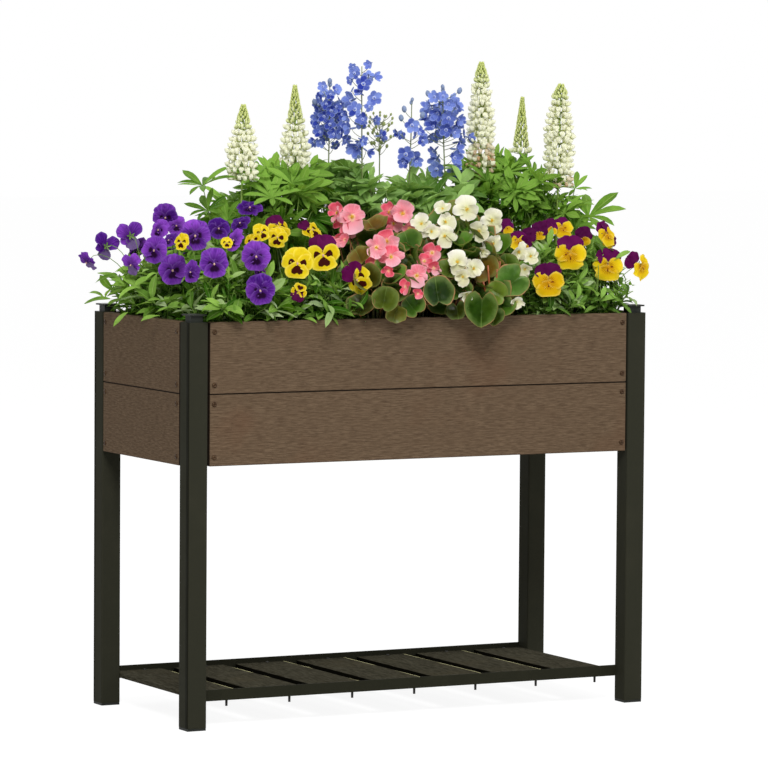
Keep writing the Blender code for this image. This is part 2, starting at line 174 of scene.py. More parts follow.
class Nodes:
    """Short ways to add and join the nodes of one tree."""

    def __init__(self, tree):
        self.tree = tree

    def add(self, kind, *inputs, **named):
        """A node: its settings, its inputs by name, which start with a capital, or in order."""
        node = self.tree.nodes.new("ShaderNode" + kind)
        for name, value in named.items():
            if name[0].isupper():
                self.put(value, node.inputs[name])
            else:
                setattr(node, name, value)
        for value, socket in zip(inputs, node.inputs):
            self.put(value, socket)
        return node

    def out(self, *given, output=0, **named):
        return Value(self, self.add(*given, **named).outputs[output])

    def put(self, value, socket):
        """Links a value or an output to the socket, or sets a number or a colour on it."""
        if isinstance(value, Value):
            value = value.socket
        if isinstance(value, bpy.types.NodeSocket):
            self.tree.links.new(value, socket)
        else:
            socket.default_value = (*value, 1.0) if socket.type == "RGBA" else value

    def maths(self, operation, *terms, clamp=False):
        return self.out("Math", *terms, operation=operation, use_clamp=clamp)

    def mix(self, share, first, second):
        node = self.add("Mix", share, data_type="RGBA")
        self.put(first, node.inputs[6])
        self.put(second, node.inputs[7])
        return Value(self, node.outputs[2])

    def ramp(self, value, low, high, start=0.0, end=1.0):
        """value from low to high becomes a smooth step from start to end."""
        return self.out("MapRange", value, low, high, start, end, interpolation_type="SMOOTHSTEP")

    def place(self, scale=(1.0, 1.0, 1.0)):
        return self.out("Mapping", Vector=self.out("TexCoord", output="Object"), Scale=scale)

    def noise(self, where, scale, detail=3.0, rough=0.55, distortion=0.0):
        return self.out("TexNoise", Vector=where, Scale=scale, Detail=detail, Roughness=rough,
                        Distortion=distortion)

    def split(self, where):
        """The x, y and z of a place."""
        return [Value(self, socket) for socket in self.add("SeparateXYZ", where).outputs]

    def paint(self):
        """The four paint values of a plant surface: shade, along, across, kind."""
        read = self.add("Attribute", attribute_name="paint")
        colours = self.add("SeparateColor", read.outputs["Color"]).outputs[:3]
        return [Value(self, socket) for socket in (*colours, read.outputs["Alpha"])]

    def seen(self):
        """1 for light that reaches the camera at once or by way of a shine, 0 for the rest."""
        rays = self.add("LightPath").outputs
        direct = Value(self, rays["Is Camera Ray"]) + rays["Is Glossy Ray"]
        return self.maths("ADD", direct, rays["Is Transmission Ray"], clamp=True)


class Finish(Nodes):
    """The nodes of one new material."""

    def __init__(self, name, roughness, metallic=0.0, specular=0.5):
        self.material = bpy.data.materials.new(name)
        self.material.use_nodes = True
        super().__init__(self.material.node_tree)
        self.shader = self.tree.nodes["Principled BSDF"]
        self.put(roughness, self.shader.inputs["Roughness"])
        self.put(metallic, self.shader.inputs["Metallic"])
        self.put(specular, self.shader.inputs["Specular IOR Level"])

    def cover(self, share, other):
        """Mixes another shader in with the material's own."""
        mix = self.out("MixShader", share, self.shader.outputs[0], other.outputs[0])
        self.put(mix, self.tree.nodes["Material Output"].inputs["Surface"])

    def let_light_through(self, colour, share):
        """Mixes in the light that comes through a thin leaf or petal."""
        self.cover(share, self.add("BsdfTranslucent", colour))

    def done(self, colour, height, strength, distance):
        """Joins the colour and the bumps to the shader, and gives the material."""
        self.put(colour, self.shader.inputs["Base Color"])
        bump = self.out("Bump", Strength=strength, Distance=distance, Height=height)
        self.put(bump, self.shader.inputs["Normal"])
        return self.material


def leaf_material(name, *tones, veins=8.0):
    """A leaf: shade from dark to light with blotches, pale midrib, slanting side veins, and
    yellowing where it is old. The tones are dark, light, old and vein."""
    tree = Finish(name, 0.55, specular=0.06)
    dark, light, old, vein = (tone(*chart) for chart in tones)
    shade, along, across, kind = tree.paint()
    where = tree.place()
    blotched = (tree.noise(where, 45.0) - 0.5) * 0.5 + shade
    colour = tree.mix(tree.ramp(blotched, 0.0, 1.0), dark, light)
    colour = tree.mix(kind * 0.85, colour, old)
    wave = tree.maths("SINE", (across * -0.30 + along) * (veins * TAU))
    side_vein = tree.ramp(wave, 0.80, 1.0)
    rib = tree.ramp(across, 0.04, 0.15, 1.0, 0.0)
    colour = tree.mix(side_vein * 0.15, colour, vein)
    colour = tree.mix(rib * 0.45, colour, vein)
    tree.let_light_through(tree.mix(0.35, colour, (0.36, 0.60, 0.03)), 0.30)
    return tree.done(colour, tree.noise(where, 260.0, 2.0) - side_vein * 0.8 - rib, 0.45, 0.0006)


def petal_material(name, *tones, softness=0.10, rays=0.45, fray=0.30, heart=None, hairs=0.0,
                   rimmed=0.6, fans=None):
    """A petal: deep to pale from copy to copy, second on the petals painted so, a paler edge,
    fine rays out of the flower's middle, and a mark whose edge the rays fray. The tones are
    deep, pale, second, mark and edge. The heart tints the petals near the flower's middle,
    and hairs are thin lines of the mark's colour that run out from it. The fans are the
    marks of the side petals and of the lowest one, which are painted 0.5 and 1."""
    tree = Finish(name, 0.6, specular=0.06)
    deep, pale, second, mark, edge = (tone(*chart) for chart in tones)
    shade, marked, rim, kind = tree.paint()
    across, out, _ = tree.split(tree.out("TexCoord", output="UV"))
    angle = tree.maths("ARCTAN2", across, out)
    reach = (across * across + out * out) ** 0.5
    ray = tree.noise(tree.out("CombineXYZ", angle * 9.0, reach * 3.0, shade * 40.0), 1.0, 3.0, 0.6)
    colour = tree.mix(tree.ramp(ray * rays + (shade - rays / 2), 0.0, 1.0), deep, pale)
    if heart:
        colour = tree.mix(tree.ramp(reach, 0.08, 0.46, 0.75, 0.0), colour, tone(*heart))
    colour = tree.mix(tree.ramp(rim, 0.70, 1.0, 0.0, rimmed), colour, edge)
    other = tree.mix(ray, second, tuple(0.70 * part for part in second))
    darker = tuple(0.35 * part for part in second)
    other = tree.mix(tree.ramp(shade, 0.62, 0.30, 0.0, 0.55), other, darker)
    colour = tree.mix(kind, colour, other)
    if fans:
        side, lowest = (fan_spot(tree, abs(angle), reach, *fan) for fan in fans)
        on_side, on_lowest = tree.ramp(marked, 0.2, 0.3), tree.ramp(marked, 0.7, 0.8)
        marked = (on_side - on_lowest) * side + on_lowest * lowest
    if hairs:
        comb = tree.maths("SINE", angle * 24.0 + ray * 5.0)
        near = tree.ramp(reach, 0.26, 0.17) * (1.0 - kind)
        colour = tree.mix(tree.ramp(comb, 0.35, 0.85) * near * hairs, colour, mark)
    frayed = (ray - 0.5) * fray + marked
    colour = tree.mix(tree.ramp(frayed, 0.5 - softness, 0.5 + softness), colour, mark)
    tree.let_light_through(colour, 0.22)
    return tree.done(colour, ray + tree.noise(tree.place(), 300.0, 2.0) * 0.4, 0.30, 0.0006)


def fan_spot(tree, off_upright, reach, bearing, middle, spread, half, cleft):
    """0.5 at the edge of a fan-shaped spot and 1.5 in its middle. The fan points along the
    bearing, degrees off upright; it has a middle so far out, a half angle, a half length,
    and a cleft that draws in its far edge."""
    aside = abs(off_upright - math.radians(bearing))
    out = reach + tree.ramp(aside, 0.0, 0.30, cleft, 0.0)
    return 1.5 - ((aside / spread) ** 3.0 + abs((out - middle) / half) ** 3.0) ** (1 / 3)


def stem_material(name, *tones):
    """A stem: greener up its length, with fine ribs along it, and red where painted so. The
    tones are low, high and red."""
    tree = Finish(name, 0.45)
    low, high, red = (tone(*chart) for chart in tones)
    shade, along, _, kind = tree.paint()
    colour = tree.mix(shade * 0.6 + along * 0.4, low, high)
    colour = tree.mix(kind * tree.ramp(along, 0.15, 0.75), colour, red)
    grain = tree.noise(tree.place((1.0, 1.0, 0.15)), 500.0, 2.0)
    return tree.done(tree.mix(grain * 0.3, colour, low), grain, 0.3, 0.0004)


def plank_material():
    """Wood composite: fine grain along the plank, darker flecks and faint smudges, and
    painted shade on the plank ends and along the seam where two planks meet."""
    tree = Finish("plank_composite", 0.8, specular=0.08)
    where = tree.place()
    x, y, z = tree.split(where)
    level = tree.out("CombineXYZ", (x + y * 1.37) * 0.10, 0.0, z)
    grain = tree.noise(level, 420.0, 4.0, 0.62, 0.3)
    fleck = tree.ramp(tree.noise(level, 900.0, 1.0), 0.66, 0.74)
    smudge = tree.ramp(tree.noise(where, 7.0, 2.0), 0.50, 0.75)
    broad = tree.ramp(tree.noise(level, 60.0), 0.35, 0.75, 0.0, 0.5)
    colour = tree.mix(tree.ramp(grain, 0.32, 0.70), tone(78, 62, 47), tone(107, 89, 70))
    colour = tree.mix(broad, colour, tone(89, 72, 55))
    colour = tree.mix(fleck * 0.55, colour, tone(54, 41, 31))
    colour = tree.mix(smudge * 0.30, colour, tone(93, 64, 46))
    # The two rows meet at JOINT; a plank ends at SAWN from the middle along x or y
    shaded_seam = tree.ramp(abs(z - JOINT), 0.0009, 0.0017, 1.0, 0.0)
    shaded_end_x, shaded_end_y = (
        tree.ramp(abs(way), end - 0.0010, end - 0.0003)
        * tree.ramp(abs(way), end + 0.0004, end + 0.0010, 1.0, 0.0)
        for way, end in zip((x, y), SAWN)
    )
    # Painted shade: the plank ends beside the legs and the seam between the rows are darkened
    dark = tree.maths("ADD", shaded_end_x + shaded_end_y, shaded_seam, clamp=True)
    colour = tree.mix(dark * 0.88, colour, tone(24, 18, 14))
    return tree.done(colour, grain - fleck * 0.8, 0.55, 0.0012)


def slat_material():
    """Dark grooved composite of the shelf slats: ribs run from front to back; painted shade
    darkens the long sides, and a painted highlight lies along one top edge in places."""
    tree = Finish("slat_composite", 0.8, specular=0.0)
    where = tree.place()
    x, _, z = tree.split(where)
    rib = tree.maths("SINE", x * (TAU / 0.0075))
    grain = tree.noise(tree.place((1.0, 0.08, 1.0)), 500.0)
    worn = tree.ramp(tree.noise(where, 9.0), 0.5, 0.8, 0.0, 0.4)
    colour = tree.mix(tree.ramp(grain, 0.3, 0.7), tone(44, 42, 33), tone(77, 74, 62))
    colour = tree.mix(worn, colour, tone(74, 68, 52))
    # How far across a slat from its middle; the shelf's middle is a slat's
    aside = (tree.maths("FRACT", x * (1 / SLAT_PITCH) + 0.5) - 0.5) * SLAT_PITCH
    side = tree.ramp(abs(aside), SLAT_WIDE / 2 - 0.0030, SLAT_WIDE / 2 - 0.0016)
    top = tree.ramp(z, SLAT_TOP - 0.0016, SLAT_TOP - 0.0004)
    # Painted shade on each slat's long sides, below the top edge
    colour = tree.mix(side * (1.0 - top), colour, tone(16, 15, 10))
    # Painted highlight along the top of each slat's right long edge, in patches
    painted_highlight = side * top * tree.ramp(aside, 0.0, 0.01)
    patch = tree.ramp(tree.noise(where, 6.0, 2.0), 0.47, 0.56)
    colour = tree.mix(painted_highlight * patch, colour, tone(226, 220, 168))
    return tree.done(colour, rib * 0.6 + grain, 0.4, 0.0008)


def coated_material(name, colour, worn, roughness, grain_scale, metallic=0.0, specular=0.3,
                    corner_shadow=None):
    """A coat or moulding: fine pebble grain with slightly worn, paler patches. Painted shadow
    darkens the side faces' last few millimetres beside the legs' outer corners."""
    tree = Finish(name, roughness, metallic, specular)
    where = tree.place()
    patch = tree.noise(where, 11.0, 4.0, 0.6)
    shown = tree.mix(tree.ramp(patch, 0.45, 0.8, 0.0, 0.55), tone(*colour), tone(*worn))
    if corner_shadow:
        # Painted shadow on the side faces beside the legs' outer corners
        x, y, _ = tree.split(where)
        shadow = tree.ramp(abs(y), -LEG_FACE[1] - 0.0130, -LEG_FACE[1] - 0.0080)
        on_side = tree.ramp(abs(x), -LEG_FACE[0] - 0.0020, -LEG_FACE[0] - 0.0008)
        shown = tree.mix(shadow * on_side * 0.75, shown, tone(*corner_shadow))
    dulled = tree.ramp(patch, 0.3, 0.8, roughness - 0.06, roughness + 0.12)
    tree.put(dulled, tree.shader.inputs["Roughness"])
    return tree.done(shown, tree.noise(where, grain_scale, 2.0), 0.18, 0.0003)


def soil_material():
    """Moist compost: near-black crumbs with a few pale and reddish bits."""
    tree = Finish("soil", 0.9, specular=0.2)
    where = tree.place()
    crumb = tree.noise(where, 190.0, 4.0, 0.7)
    bits = tree.ramp(tree.noise(where, 330.0, 1.0), 0.68, 0.74)
    colour = tree.mix(tree.ramp(crumb, 0.35, 0.7), tone(18, 13, 8), tone(58, 44, 30))
    return tree.done(tree.mix(bits * 0.6, colour, tone(120, 96, 70)), crumb, 0.9, 0.003)


def begonia_leaf_material():
    """Waxy green blade with painted shade darkening its middle, paler along the fan of veins
    and towards a bronze rim; bronze where painted."""
    tree = Finish("begonia_leaf", 0.30, specular=0.14)
    shade, vein, rho, kind = tree.paint()
    where = tree.place()
    blotch = tree.noise(where, 40.0) - 0.5
    mixed = tree.ramp(blotch * 0.5 + shade, 0.0, 1.0)
    colour = tree.mix(mixed, tone(14, 42, 2), tone(92, 142, 42))
    colour = tree.mix(kind, colour, tree.mix(mixed, tone(52, 38, 8), tone(160, 98, 38)))
    line = tree.ramp(vein, 0.02, 0.12, 1.0, 0.0)
    colour = tree.mix(line * 0.40, colour, tone(142, 172, 84))
    wide = tree.ramp(blotch * 0.8 + rho, 0.50, 1.1, 0.0, 0.50)
    colour = tree.mix(wide, colour, tone(136, 160, 92))
    # Painted shade: darker towards the middle of the cupped blade
    colour = tree.mix(tree.ramp(rho, 0.0, 0.75, 0.42, 0.0), colour, tone(18, 34, 6))
    patch = tree.ramp(tree.noise(where, 26.0, 2.0), 0.42, 0.60, 0.15, 0.75)
    colour = tree.mix(tree.ramp(rho, 0.92, 0.985) * patch, colour, tone(200, 136, 100))
    tree.let_light_through(tree.mix(0.4, colour, (0.34, 0.42, 0.03)), 0.20)
    return tree.done(colour, tree.noise(where, 180.0, 2.0) - line, 0.5, 0.0010)


def lupin_flower_material():
    """Pea flowers: green in bud, cream when open, brownish pink when spent, and greener at
    the base of each."""
    tree = Finish("lupin_flower", 0.6, specular=0.12)
    shade, along, _, kind = tree.paint()
    vein = tree.noise(tree.place((1.0, 1.0, 0.3)), 420.0, 2.0)
    bud = tree.mix(tree.ramp(along, 0.0, 0.8), tone(138, 158, 50), tone(224, 232, 148))
    bloom = tree.mix(tree.ramp(along, 0.0, 0.45), tone(206, 212, 136), tone(248, 248, 226))
    bloom = tree.mix(tree.ramp(shade, 0.35, 1.0), bloom, tone(206, 170, 128))
    veined = tree.ramp(vein, 0.5, 0.8) * 0.12
    colour = tree.mix(veined, tree.mix(kind, bud, bloom), tone(190, 190, 140))
    tree.let_light_through(colour, 0.30)
    return tree.done(colour, tree.noise(tree.place(), 300.0, 2.0), 0.25, 0.0005)


# Surfaces


class Skin:
    """Grids of points gathered into one mesh, each with a UV and four paint values."""

    def __init__(self):
        self.points, self.uvs, self.paints, self.faces, self.ribs = [], [], [], [], []
        self.size = 0

    def add(self, points, uv, paint, poles=0, rib=None):
        """points is (copies, rows, columns, 3); uv and paint are spread to match. A grid with
        poles is closed round its columns, and its first row, or with two its first and last,
        is all one point. Along the column rib the surface has a crease."""
        copies, rows, columns = shape = points.shape[:3]
        index = np.arange(rows * columns).reshape(rows, columns)
        if poles:
            index[0] = index[0, 0]
            if poles == 2:
                index[-1] = index[-1, 0]
            index = np.hstack([index, index[:, :1]])
        quads = np.stack([index[:-1, :-1], index[:-1, 1:], index[1:, 1:], index[1:, :-1]], -1)
        start = self.size + rows * columns * np.arange(copies)
        self.faces.append((quads.reshape(1, -1, 4) + start[:, None, None]).reshape(-1, 4))
        self.points.append(points.reshape(-1, 3))
        self.uvs.append(np.broadcast_to(uv, (*shape, 2)).reshape(-1, 2))
        self.paints.append(np.broadcast_to(paint, (*shape, 4)).reshape(-1, 4))
        self.ribs.append(np.broadcast_to(np.arange(columns) == rib, shape).ravel())
        self.size += copies * rows * columns

    def piece(self, name, material, slot, *nodes):
        """The mesh object: it rides on the root body and stands for the named nodes."""
        faces = np.concatenate(self.faces)
        kept = faces != np.roll(faces, 1, axis=1)
        used, corners = np.unique(faces[kept], return_inverse=True)
        points, uvs, paints = (
            np.concatenate(grids)[used].astype(np.float32)
            for grids in (self.points, self.uvs, self.paints)
        )
        sides = kept.sum(1)
        starts = np.concatenate([[0], np.cumsum(sides)[:-1]])
        mesh = bpy.data.meshes.new(name)
        mesh.vertices.add(len(used))
        mesh.vertices.foreach_set("co", points.ravel())
        mesh.loops.add(len(corners))
        mesh.loops.foreach_set("vertex_index", corners.astype(np.int32).ravel())
        mesh.polygons.add(len(sides))
        mesh.polygons.foreach_set("loop_start", starts.astype(np.int32))
        mesh.update(calc_edges=True)
        mesh.uv_layers.new(name="flat").data.foreach_set("uv", uvs[corners].ravel())
        paint = mesh.attributes.new("paint", "FLOAT_COLOR", "POINT")
        paint.data.foreach_set("color", paints.ravel())
        mesh.shade_smooth()
        ends = np.empty(2 * len(mesh.edges), np.int32)
        mesh.edges.foreach_get("vertices", ends)
        crease = np.concatenate(self.ribs)[used][ends.reshape(-1, 2)].all(1)
        if crease.any():
            mesh.attributes.new("sharp_edge", "BOOLEAN", "EDGE").data.foreach_set("value", crease)
        mesh.materials.append(material)
        made = new_object(name, mesh)
        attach(made, "root")
        if nodes:
            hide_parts(*nodes)


def spread(copies, *numbers):
    """Each a number, or one for each copy, shaped to multiply a grid of points."""
    return [np.broadcast_to(np.asarray(n, float), (copies,))[:, None, None] for n in numbers]


def values(*parts):
    """Joins arrays that spread to one shape as the last axis."""
    return np.stack(np.broadcast_arrays(*parts), -1)


def joined(*pairs):
    return (np.concatenate(pair) for pair in pairs)


def picked(kept, *arrays):
    return (array[kept] for array in arrays)


def varied(rng, shade, amount):
    """The shades, each a little off by chance, from 0 to 1."""
    return np.clip(shade + rng.normal(0, amount, len(shade)), 0, 1)


def along_rows(rows):
    """0 to 1 down the rows of a grid."""
    return np.linspace(0, 1, rows + 1)[None, :, None]


def round_columns(around):
    """Once round, across the columns of a grid."""
    return np.linspace(0, TAU, around, endpoint=False)[None, None, :]


def posed(base, pose, local):
    return base[:, None, None] + np.einsum("kij,krcj->krci", pose, local)


def growing(along, upper):
    """Poses whose Y is along and whose Z is as near upper as it can be."""
    y = unit(np.broadcast_to(along, np.broadcast_shapes(along.shape, upper.shape)))
    x = unit(np.cross(y, upper))
    return np.stack([x, y, np.cross(x, y)], -1)


def facing(turn, tip, roll):
    """Poses of flowers: Z points out of the face, turned from the front towards the left
    by turn and up by tip; Y is upright before roll. Degrees."""
    turn, tip, roll = np.radians([turn, tip, roll])
    z = values(-np.sin(turn) * np.cos(tip), -np.cos(turn) * np.cos(tip), np.sin(tip))
    x = unit(np.cross(UP, z))
    y = np.cross(z, x)
    c, s = np.cos(roll)[..., None], np.sin(roll)[..., None]
    return np.stack([c * x + s * y, c * y - s * x, z], -1)


def tilted(rng, pose, amount):
    """The poses leaned a little, each its own way."""
    lean = rng.normal(0, amount, (len(pose), 2))
    z = unit(pose[:, :, 2] + lean[:, :1] * pose[:, :, 0] + lean[:, 1:] * pose[:, :, 1])
    x = unit(np.cross(pose[:, :, 1], z))
    return np.stack([x, np.cross(z, x), z], -1)


def blades(skin, base, pose, length, width, droop, fold, shade, kind=0.0, widest=0.5, blunt=0.9,
           rows=6, columns=4, ripple=0.0, teeth=0.0):
    """Leaf blades. Along v, 0 at the base and 1 at the tip, the midrib is an arc of the given
    length that bends down by droop radians, and the half width is half of width times
    sin(pi v^p)^blunt, where p puts the widest place at widest. Across t, -1 to 1, the
    blade rises by fold times the distance from the midrib, and its edge ripples. With
    teeth, every second row is narrower by that share."""
    length, width, droop, fold, shade, kind = spread(
        len(base), length, width, droop, fold, shade, kind)
    v = along_rows(rows)
    t = np.linspace(-1, 1, columns + 1)[None, None, :]
    power = math.log(0.5) / math.log(widest)
    half = width / 2 * np.maximum(np.sin(np.pi * v ** power), 0.0) ** blunt
    odd = (np.arange(rows + 1) % 2)[None, :, None]
    half = np.maximum(half, width * 0.015) * (1 - teeth * odd)
    bend = droop * v
    y = length * v * np.sinc(bend / np.pi)
    z = -length * v * np.sinc(bend / TAU) * np.sin(bend / 2)
    lift = fold * np.abs(t) * half + ripple * width * t * t * np.sin(9 * v + 40 * shade + t)
    local = values(t * half, y + lift * np.sin(bend), z + lift * np.cos(bend))
    uv = values((t + 1) / 2, v)
    skin.add(posed(base, pose, local), uv, values(shade, v, np.abs(t), kind), rib=columns // 2)


def discs(skin, base, pose, size, petal, shade, kind, curl, phase, ruffle, lobes, frill,
          mark=None, spot=0.0, around=16):
    """Rounded petals. The petal is its angle in degrees, away, half width, half length, layer,
    taper and notch. With rho from the middle to the edge and phi round it, a point lies
    rho cos(phi) times half width across and away plus rho sin(phi) times half length out
    from the flower's middle, all turned by the angle and times size; frill waves the outline.
    It rises by layer, curl times the squared distance, and a ruffle of so many lobes at the
    edge. The mark is an ellipse on the petal's foot: its half width and half length. The
    paint is shade, 0.5 plus how far inside the mark it is, or the spot, rho, and kind."""
    angle, away, half_width, half_length, layer, taper, notch = petal
    angle = math.radians(angle)
    rho, phi = along_rows(PETAL_RINGS), -round_columns(around)
    size, shade, kind, phase, curl = spread(len(base), size, shade, kind, phase, curl)
    out = np.sin(phi)
    edge = rho * (1 - notch * np.exp(-(np.cos(phi) / 0.28) ** 2) * (out > 0) * rho)
    waves = np.sin(6 * phi + 2.3 * phase) + 0.7 * np.sin(7 * phi + 4.1 * phase)
    edge = edge * (1 + frill * rho * waves)
    across = half_width * edge * np.cos(phi) * (1 + taper * rho * out)
    reach = away + half_length * edge * out
    x = across * math.cos(angle) + reach * math.sin(angle)
    y = reach * math.cos(angle) - across * math.sin(angle)
    distance = np.sqrt(x * x + y * y)
    z = layer + curl * distance ** 2 + ruffle * rho ** 3 * np.sin(lobes * phi + phase)
    z = z + 0.35 * ruffle * rho ** 5 * np.sin((2 * lobes + 1) * phi + 2.1 * phase)
    marked = 1.5 - np.hypot(across / mark[0], reach / mark[1]) if mark else spot
    local = size[..., None] * values(x, y, z)
    skin.add(posed(base, pose, local), values(x, y), values(shade, marked, rho, kind), poles=1)


def eggs(skin, base, pose, length, width, depth, shade, kind, blunt, rows=6, around=8, along=1.0):
    """Closed buds and florets: along v from base to tip the section is an ellipse whose
    half axes are width and depth, halved, times sin(pi v)^blunt."""
    length, width, depth, shade, kind = spread(len(base), length, width, depth, shade, kind)
    v, turn = along_rows(rows), round_columns(around)
    girth = np.maximum(np.sin(np.pi * v), 0) ** blunt / 2
    local = values(width * girth * np.sin(turn), length * v, depth * girth * np.cos(turn))
    paint = values(shade, v * along, 0.5, kind)
    skin.add(posed(base, pose, local), values(turn / TAU, v), paint, poles=2)


def tubes(skin, path, radius, shade, kind=0.0, around=5, taper=0.6):
    """Stems: a circle carried along each path (copies, points, 3), thinner towards its end."""
    copies, count = path.shape[:2]
    ahead = unit(np.gradient(path, axis=1))
    side = np.empty_like(path)
    side[:, 0] = unit(np.cross(ahead[:, 0], np.array([0.31, 0.95, 0.05])))
    for step in range(1, count):
        along = (side[:, step - 1] * ahead[:, step]).sum(-1, keepdims=True)
        side[:, step] = unit(side[:, step - 1] - along * ahead[:, step])
    other = np.cross(ahead, side)
    turn, v = round_columns(around)[..., None], along_rows(count - 1)
    radius, shade, kind = spread(copies, radius, shade, kind)
    spoke = np.cos(turn) * side[:, :, None] + np.sin(turn) * other[:, :, None]
    ring = path[:, :, None] + (radius * (1 - (1 - taper) * v))[..., None] * spoke
    first, last = (np.repeat(path[:, [end], None], around, 2) for end in (0, -1))
    v = np.concatenate([v[:, :1], v, v[:, -1:]], 1)
    points = np.concatenate([first, ring, last], 1)
    skin.add(points, values(0 * v, v), values(shade, v, 0.0, kind), poles=2)


def bends(start, first, second, end, count=7):
    """Points along cubic curves from start to end, pulled towards first and second."""
    s = np.linspace(0, 1, count)[None, :, None]
    left = 1 - s
    start, first, second, end = (p[:, None] for p in (start, first, second, end))
    near = left ** 3 * start + 3 * left ** 2 * s * first
    return near + 3 * left * s * s * second + s ** 3 * end


# The bed's own measures


def box(node):
    low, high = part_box(node)
    return np.array(low), np.array(high)


SOIL_LOW, SOIL_HIGH = box("soil")
BED_LOW, BED_HIGH = box("liner")
PLANK_LOW, PLANK_HIGH = box("plank_front_upper")
SLAT_LOW, SLAT_HIGH = box("shelf_slat_4")
RIM = PLANK_HIGH[2]
JOINT = (PLANK_LOW[2] + box("plank_front_lower")[1][2]) / 2
SAWN = (PLANK_HIGH[0], box("plank_left_upper")[1][1])
SLAT_PITCH = box("shelf_slat_5")[0][0] - SLAT_LOW[0]
SLAT_WIDE = SLAT_HIGH[0] - SLAT_LOW[0]
SLAT_TOP = SLAT_HIGH[2]
LEG_FACE = box("leg_front_left")[0]
REACH_RIGHT = 0.50  # no leaf's tip, and no tall leaf, goes further right than this


def rooted(points):
    """The points moved down onto the soil and in from the box's walls."""
    feet = np.clip(points, SOIL_LOW + 0.02, SOIL_HIGH - 0.02)
    feet[:, 2] = SOIL_HIGH[2] - 0.004
    return feet


# Low plants


# How far the leaves stay inside each plant's box (mm: left, right, front, back), how many
# leafy stems it has, or leaves for a begonia, and how much of its height they reach
LOW_PLANTS = {
    "pansy_violet_left": ((80, -10, 0, 20), 76, 0.62),
    "pansy_violet_front": ((10, 0, 42, -60), 66, 0.62),
    "pansy_yellow_front": ((0, 0, 42, -10), 60, 0.62),
    "pansy_violet_back": ((0, 0, -10, 42), 74, 0.62),
    "begonia_pink_front": ((0, 0, 56, 0), 84, 0.80),
    "begonia_white_front": ((0, 34, 56, 0), 96, 0.80),
    "begonia_white_back": ((0, 0, 0, 50), 60, 0.80),
    "viola_gold_front": ((0, 0, 42, -10), 72, 0.82),
    "viola_gold_right": ((-10, 84, 8, -20), 110, 0.84),
    "viola_gold_back": ((0, 0, -10, 42), 80, 0.62),
}
LEAVES_PER_STEM = 9
SMALL_LEAF_WIDTH = 0.0160
SMALL_BLADE = {"widest": 0.55, "blunt": 0.85, "ripple": 0.05}
EDGE_SPACING = 0.007  # of the leaves that lie over the rim
# Leaves that lie over the rim, each from its base to its tip: right of, behind and above
# the low front corner of the plant's box (mm)
RIM_LEAVES = {
    "pansy_violet_left": (
        (52, 160, 58, 4, 180, 48), (52, 200, 60, 35, 240, 68), (51, 80, 36, 20, 70, 11),
        (84, 0, 32, 44, -10, 23), (76, 150, 86, 34, 190, 111), (65, 160, 106, 26, 180, 90),
    ),
    "pansy_violet_front": ((147, 65, 51, 160, 50, 28), (59, 65, 41, 76, 55, 27)),
    "pansy_yellow_front": ((76, 65, 34, 92, 55, 14), (12, 65, 41, -15, 55, 25)),
    "viola_gold_front": ((56, 70, 38, 80, 55, 22),),
    "viola_gold_right": (
        (58, 30, 50, 77, 6, 24), (41, 20, 35, 57, 5, 15), (21, 35, 39, -19, 15, 28),
    ),
}


def leaf_box(node):
    low, high = box(node)
    left, right, front, back = (inset / 1000 for inset in LOW_PLANTS[node][0])
    return low + (left, front, 0.0), high - (right, back, 0.0)


def soft_square(angle):
    """The way out at each angle, and how far out a square with soft corners lies there."""
    out = values(np.cos(angle), np.sin(angle), 0.0)
    return out, np.sign(out) * np.abs(out) ** 0.65


def dome(rng, node):
    """Places on a low plant's dome: their points, the way out from its middle and how far
    out they are. The outline is a rectangle with soft corners and the height falls as the
    cube of the way out."""
    _, count, lift = LOW_PLANTS[node]
    low, high = leaf_box(node)
    middle, half = (low + high) / 2, (high - low) / 2
    out, soft = soft_square(rng.uniform(0, TAU, count))
    far = np.sqrt(rng.uniform(0, 1.0, count))
    points = middle + half * soft * far[:, None]
    rise = (high[2] - RIM) * lift
    points[:, 2] = RIM + rise * (1 - far ** 3) * rng.uniform(0.6, 1.0, count) + 0.016
    return points, out, far


def sprigs(rng, node):
    """Leafy stems of a low plant as curves from the soil out to its dome."""
    tips, out, _ = dome(rng, node)
    middle = sum(leaf_box(node)) / 2
    feet = rooted(middle + (tips - middle) * 0.70)
    reach = np.linalg.norm(tips - feet, axis=1, keepdims=True)
    first = feet + UP * reach * 0.55 + out * 0.012
    second = tips - out * reach * 0.25 - UP * reach * 0.12
    return bends(feet, first, second, tips, 9), out


def leafy(rng, stems, out):
    """Where leaves leave the stems: points, poses and how far up the stem. Each leaf turns on
    from the last by the golden angle and leans along the stem, more so towards its end."""
    copies, count = stems.shape[:2]
    shape = (copies, LEAVES_PER_STEM)
    up_stem = np.linspace(0.12, 1.0, LEAVES_PER_STEM)[None] ** 0.8
    places = np.clip(up_stem * (count - 1) + rng.uniform(-0.25, 0.25, shape), 0, count - 1.001)
    cell = places.astype(int)
    part = (places - cell)[..., None]
    row = np.arange(copies)[:, None]
    below, above = stems[row, cell], stems[row, cell + 1]
    points = below * (1 - part) + above * part
    ahead = unit(above - below)
    side = unit(np.cross(ahead, np.broadcast_to(UP + 0.01, ahead.shape)))
    other = np.cross(side, ahead)
    turn = rng.uniform(0, TAU, (copies, 1)) + GOLDEN * np.arange(LEAVES_PER_STEM)[None]
    turn = turn + rng.uniform(-0.4, 0.4, shape)
    spoke = np.cos(turn)[..., None] * side + np.sin(turn)[..., None] * other
    lean = rng.uniform(0.15, 0.6, (*shape, 1)) + 0.9 * up_stem[..., None] ** 3
    along = unit(spoke + ahead * lean + out[:, None] * 0.15 + UP * 0.15)
    upper = ahead + UP * 0.30 + rng.normal(0, 0.22, ahead.shape)
    height = np.broadcast_to(up_stem, shape).ravel()
    return points.reshape(-1, 3), growing(along.reshape(-1, 3), upper.reshape(-1, 3)), height


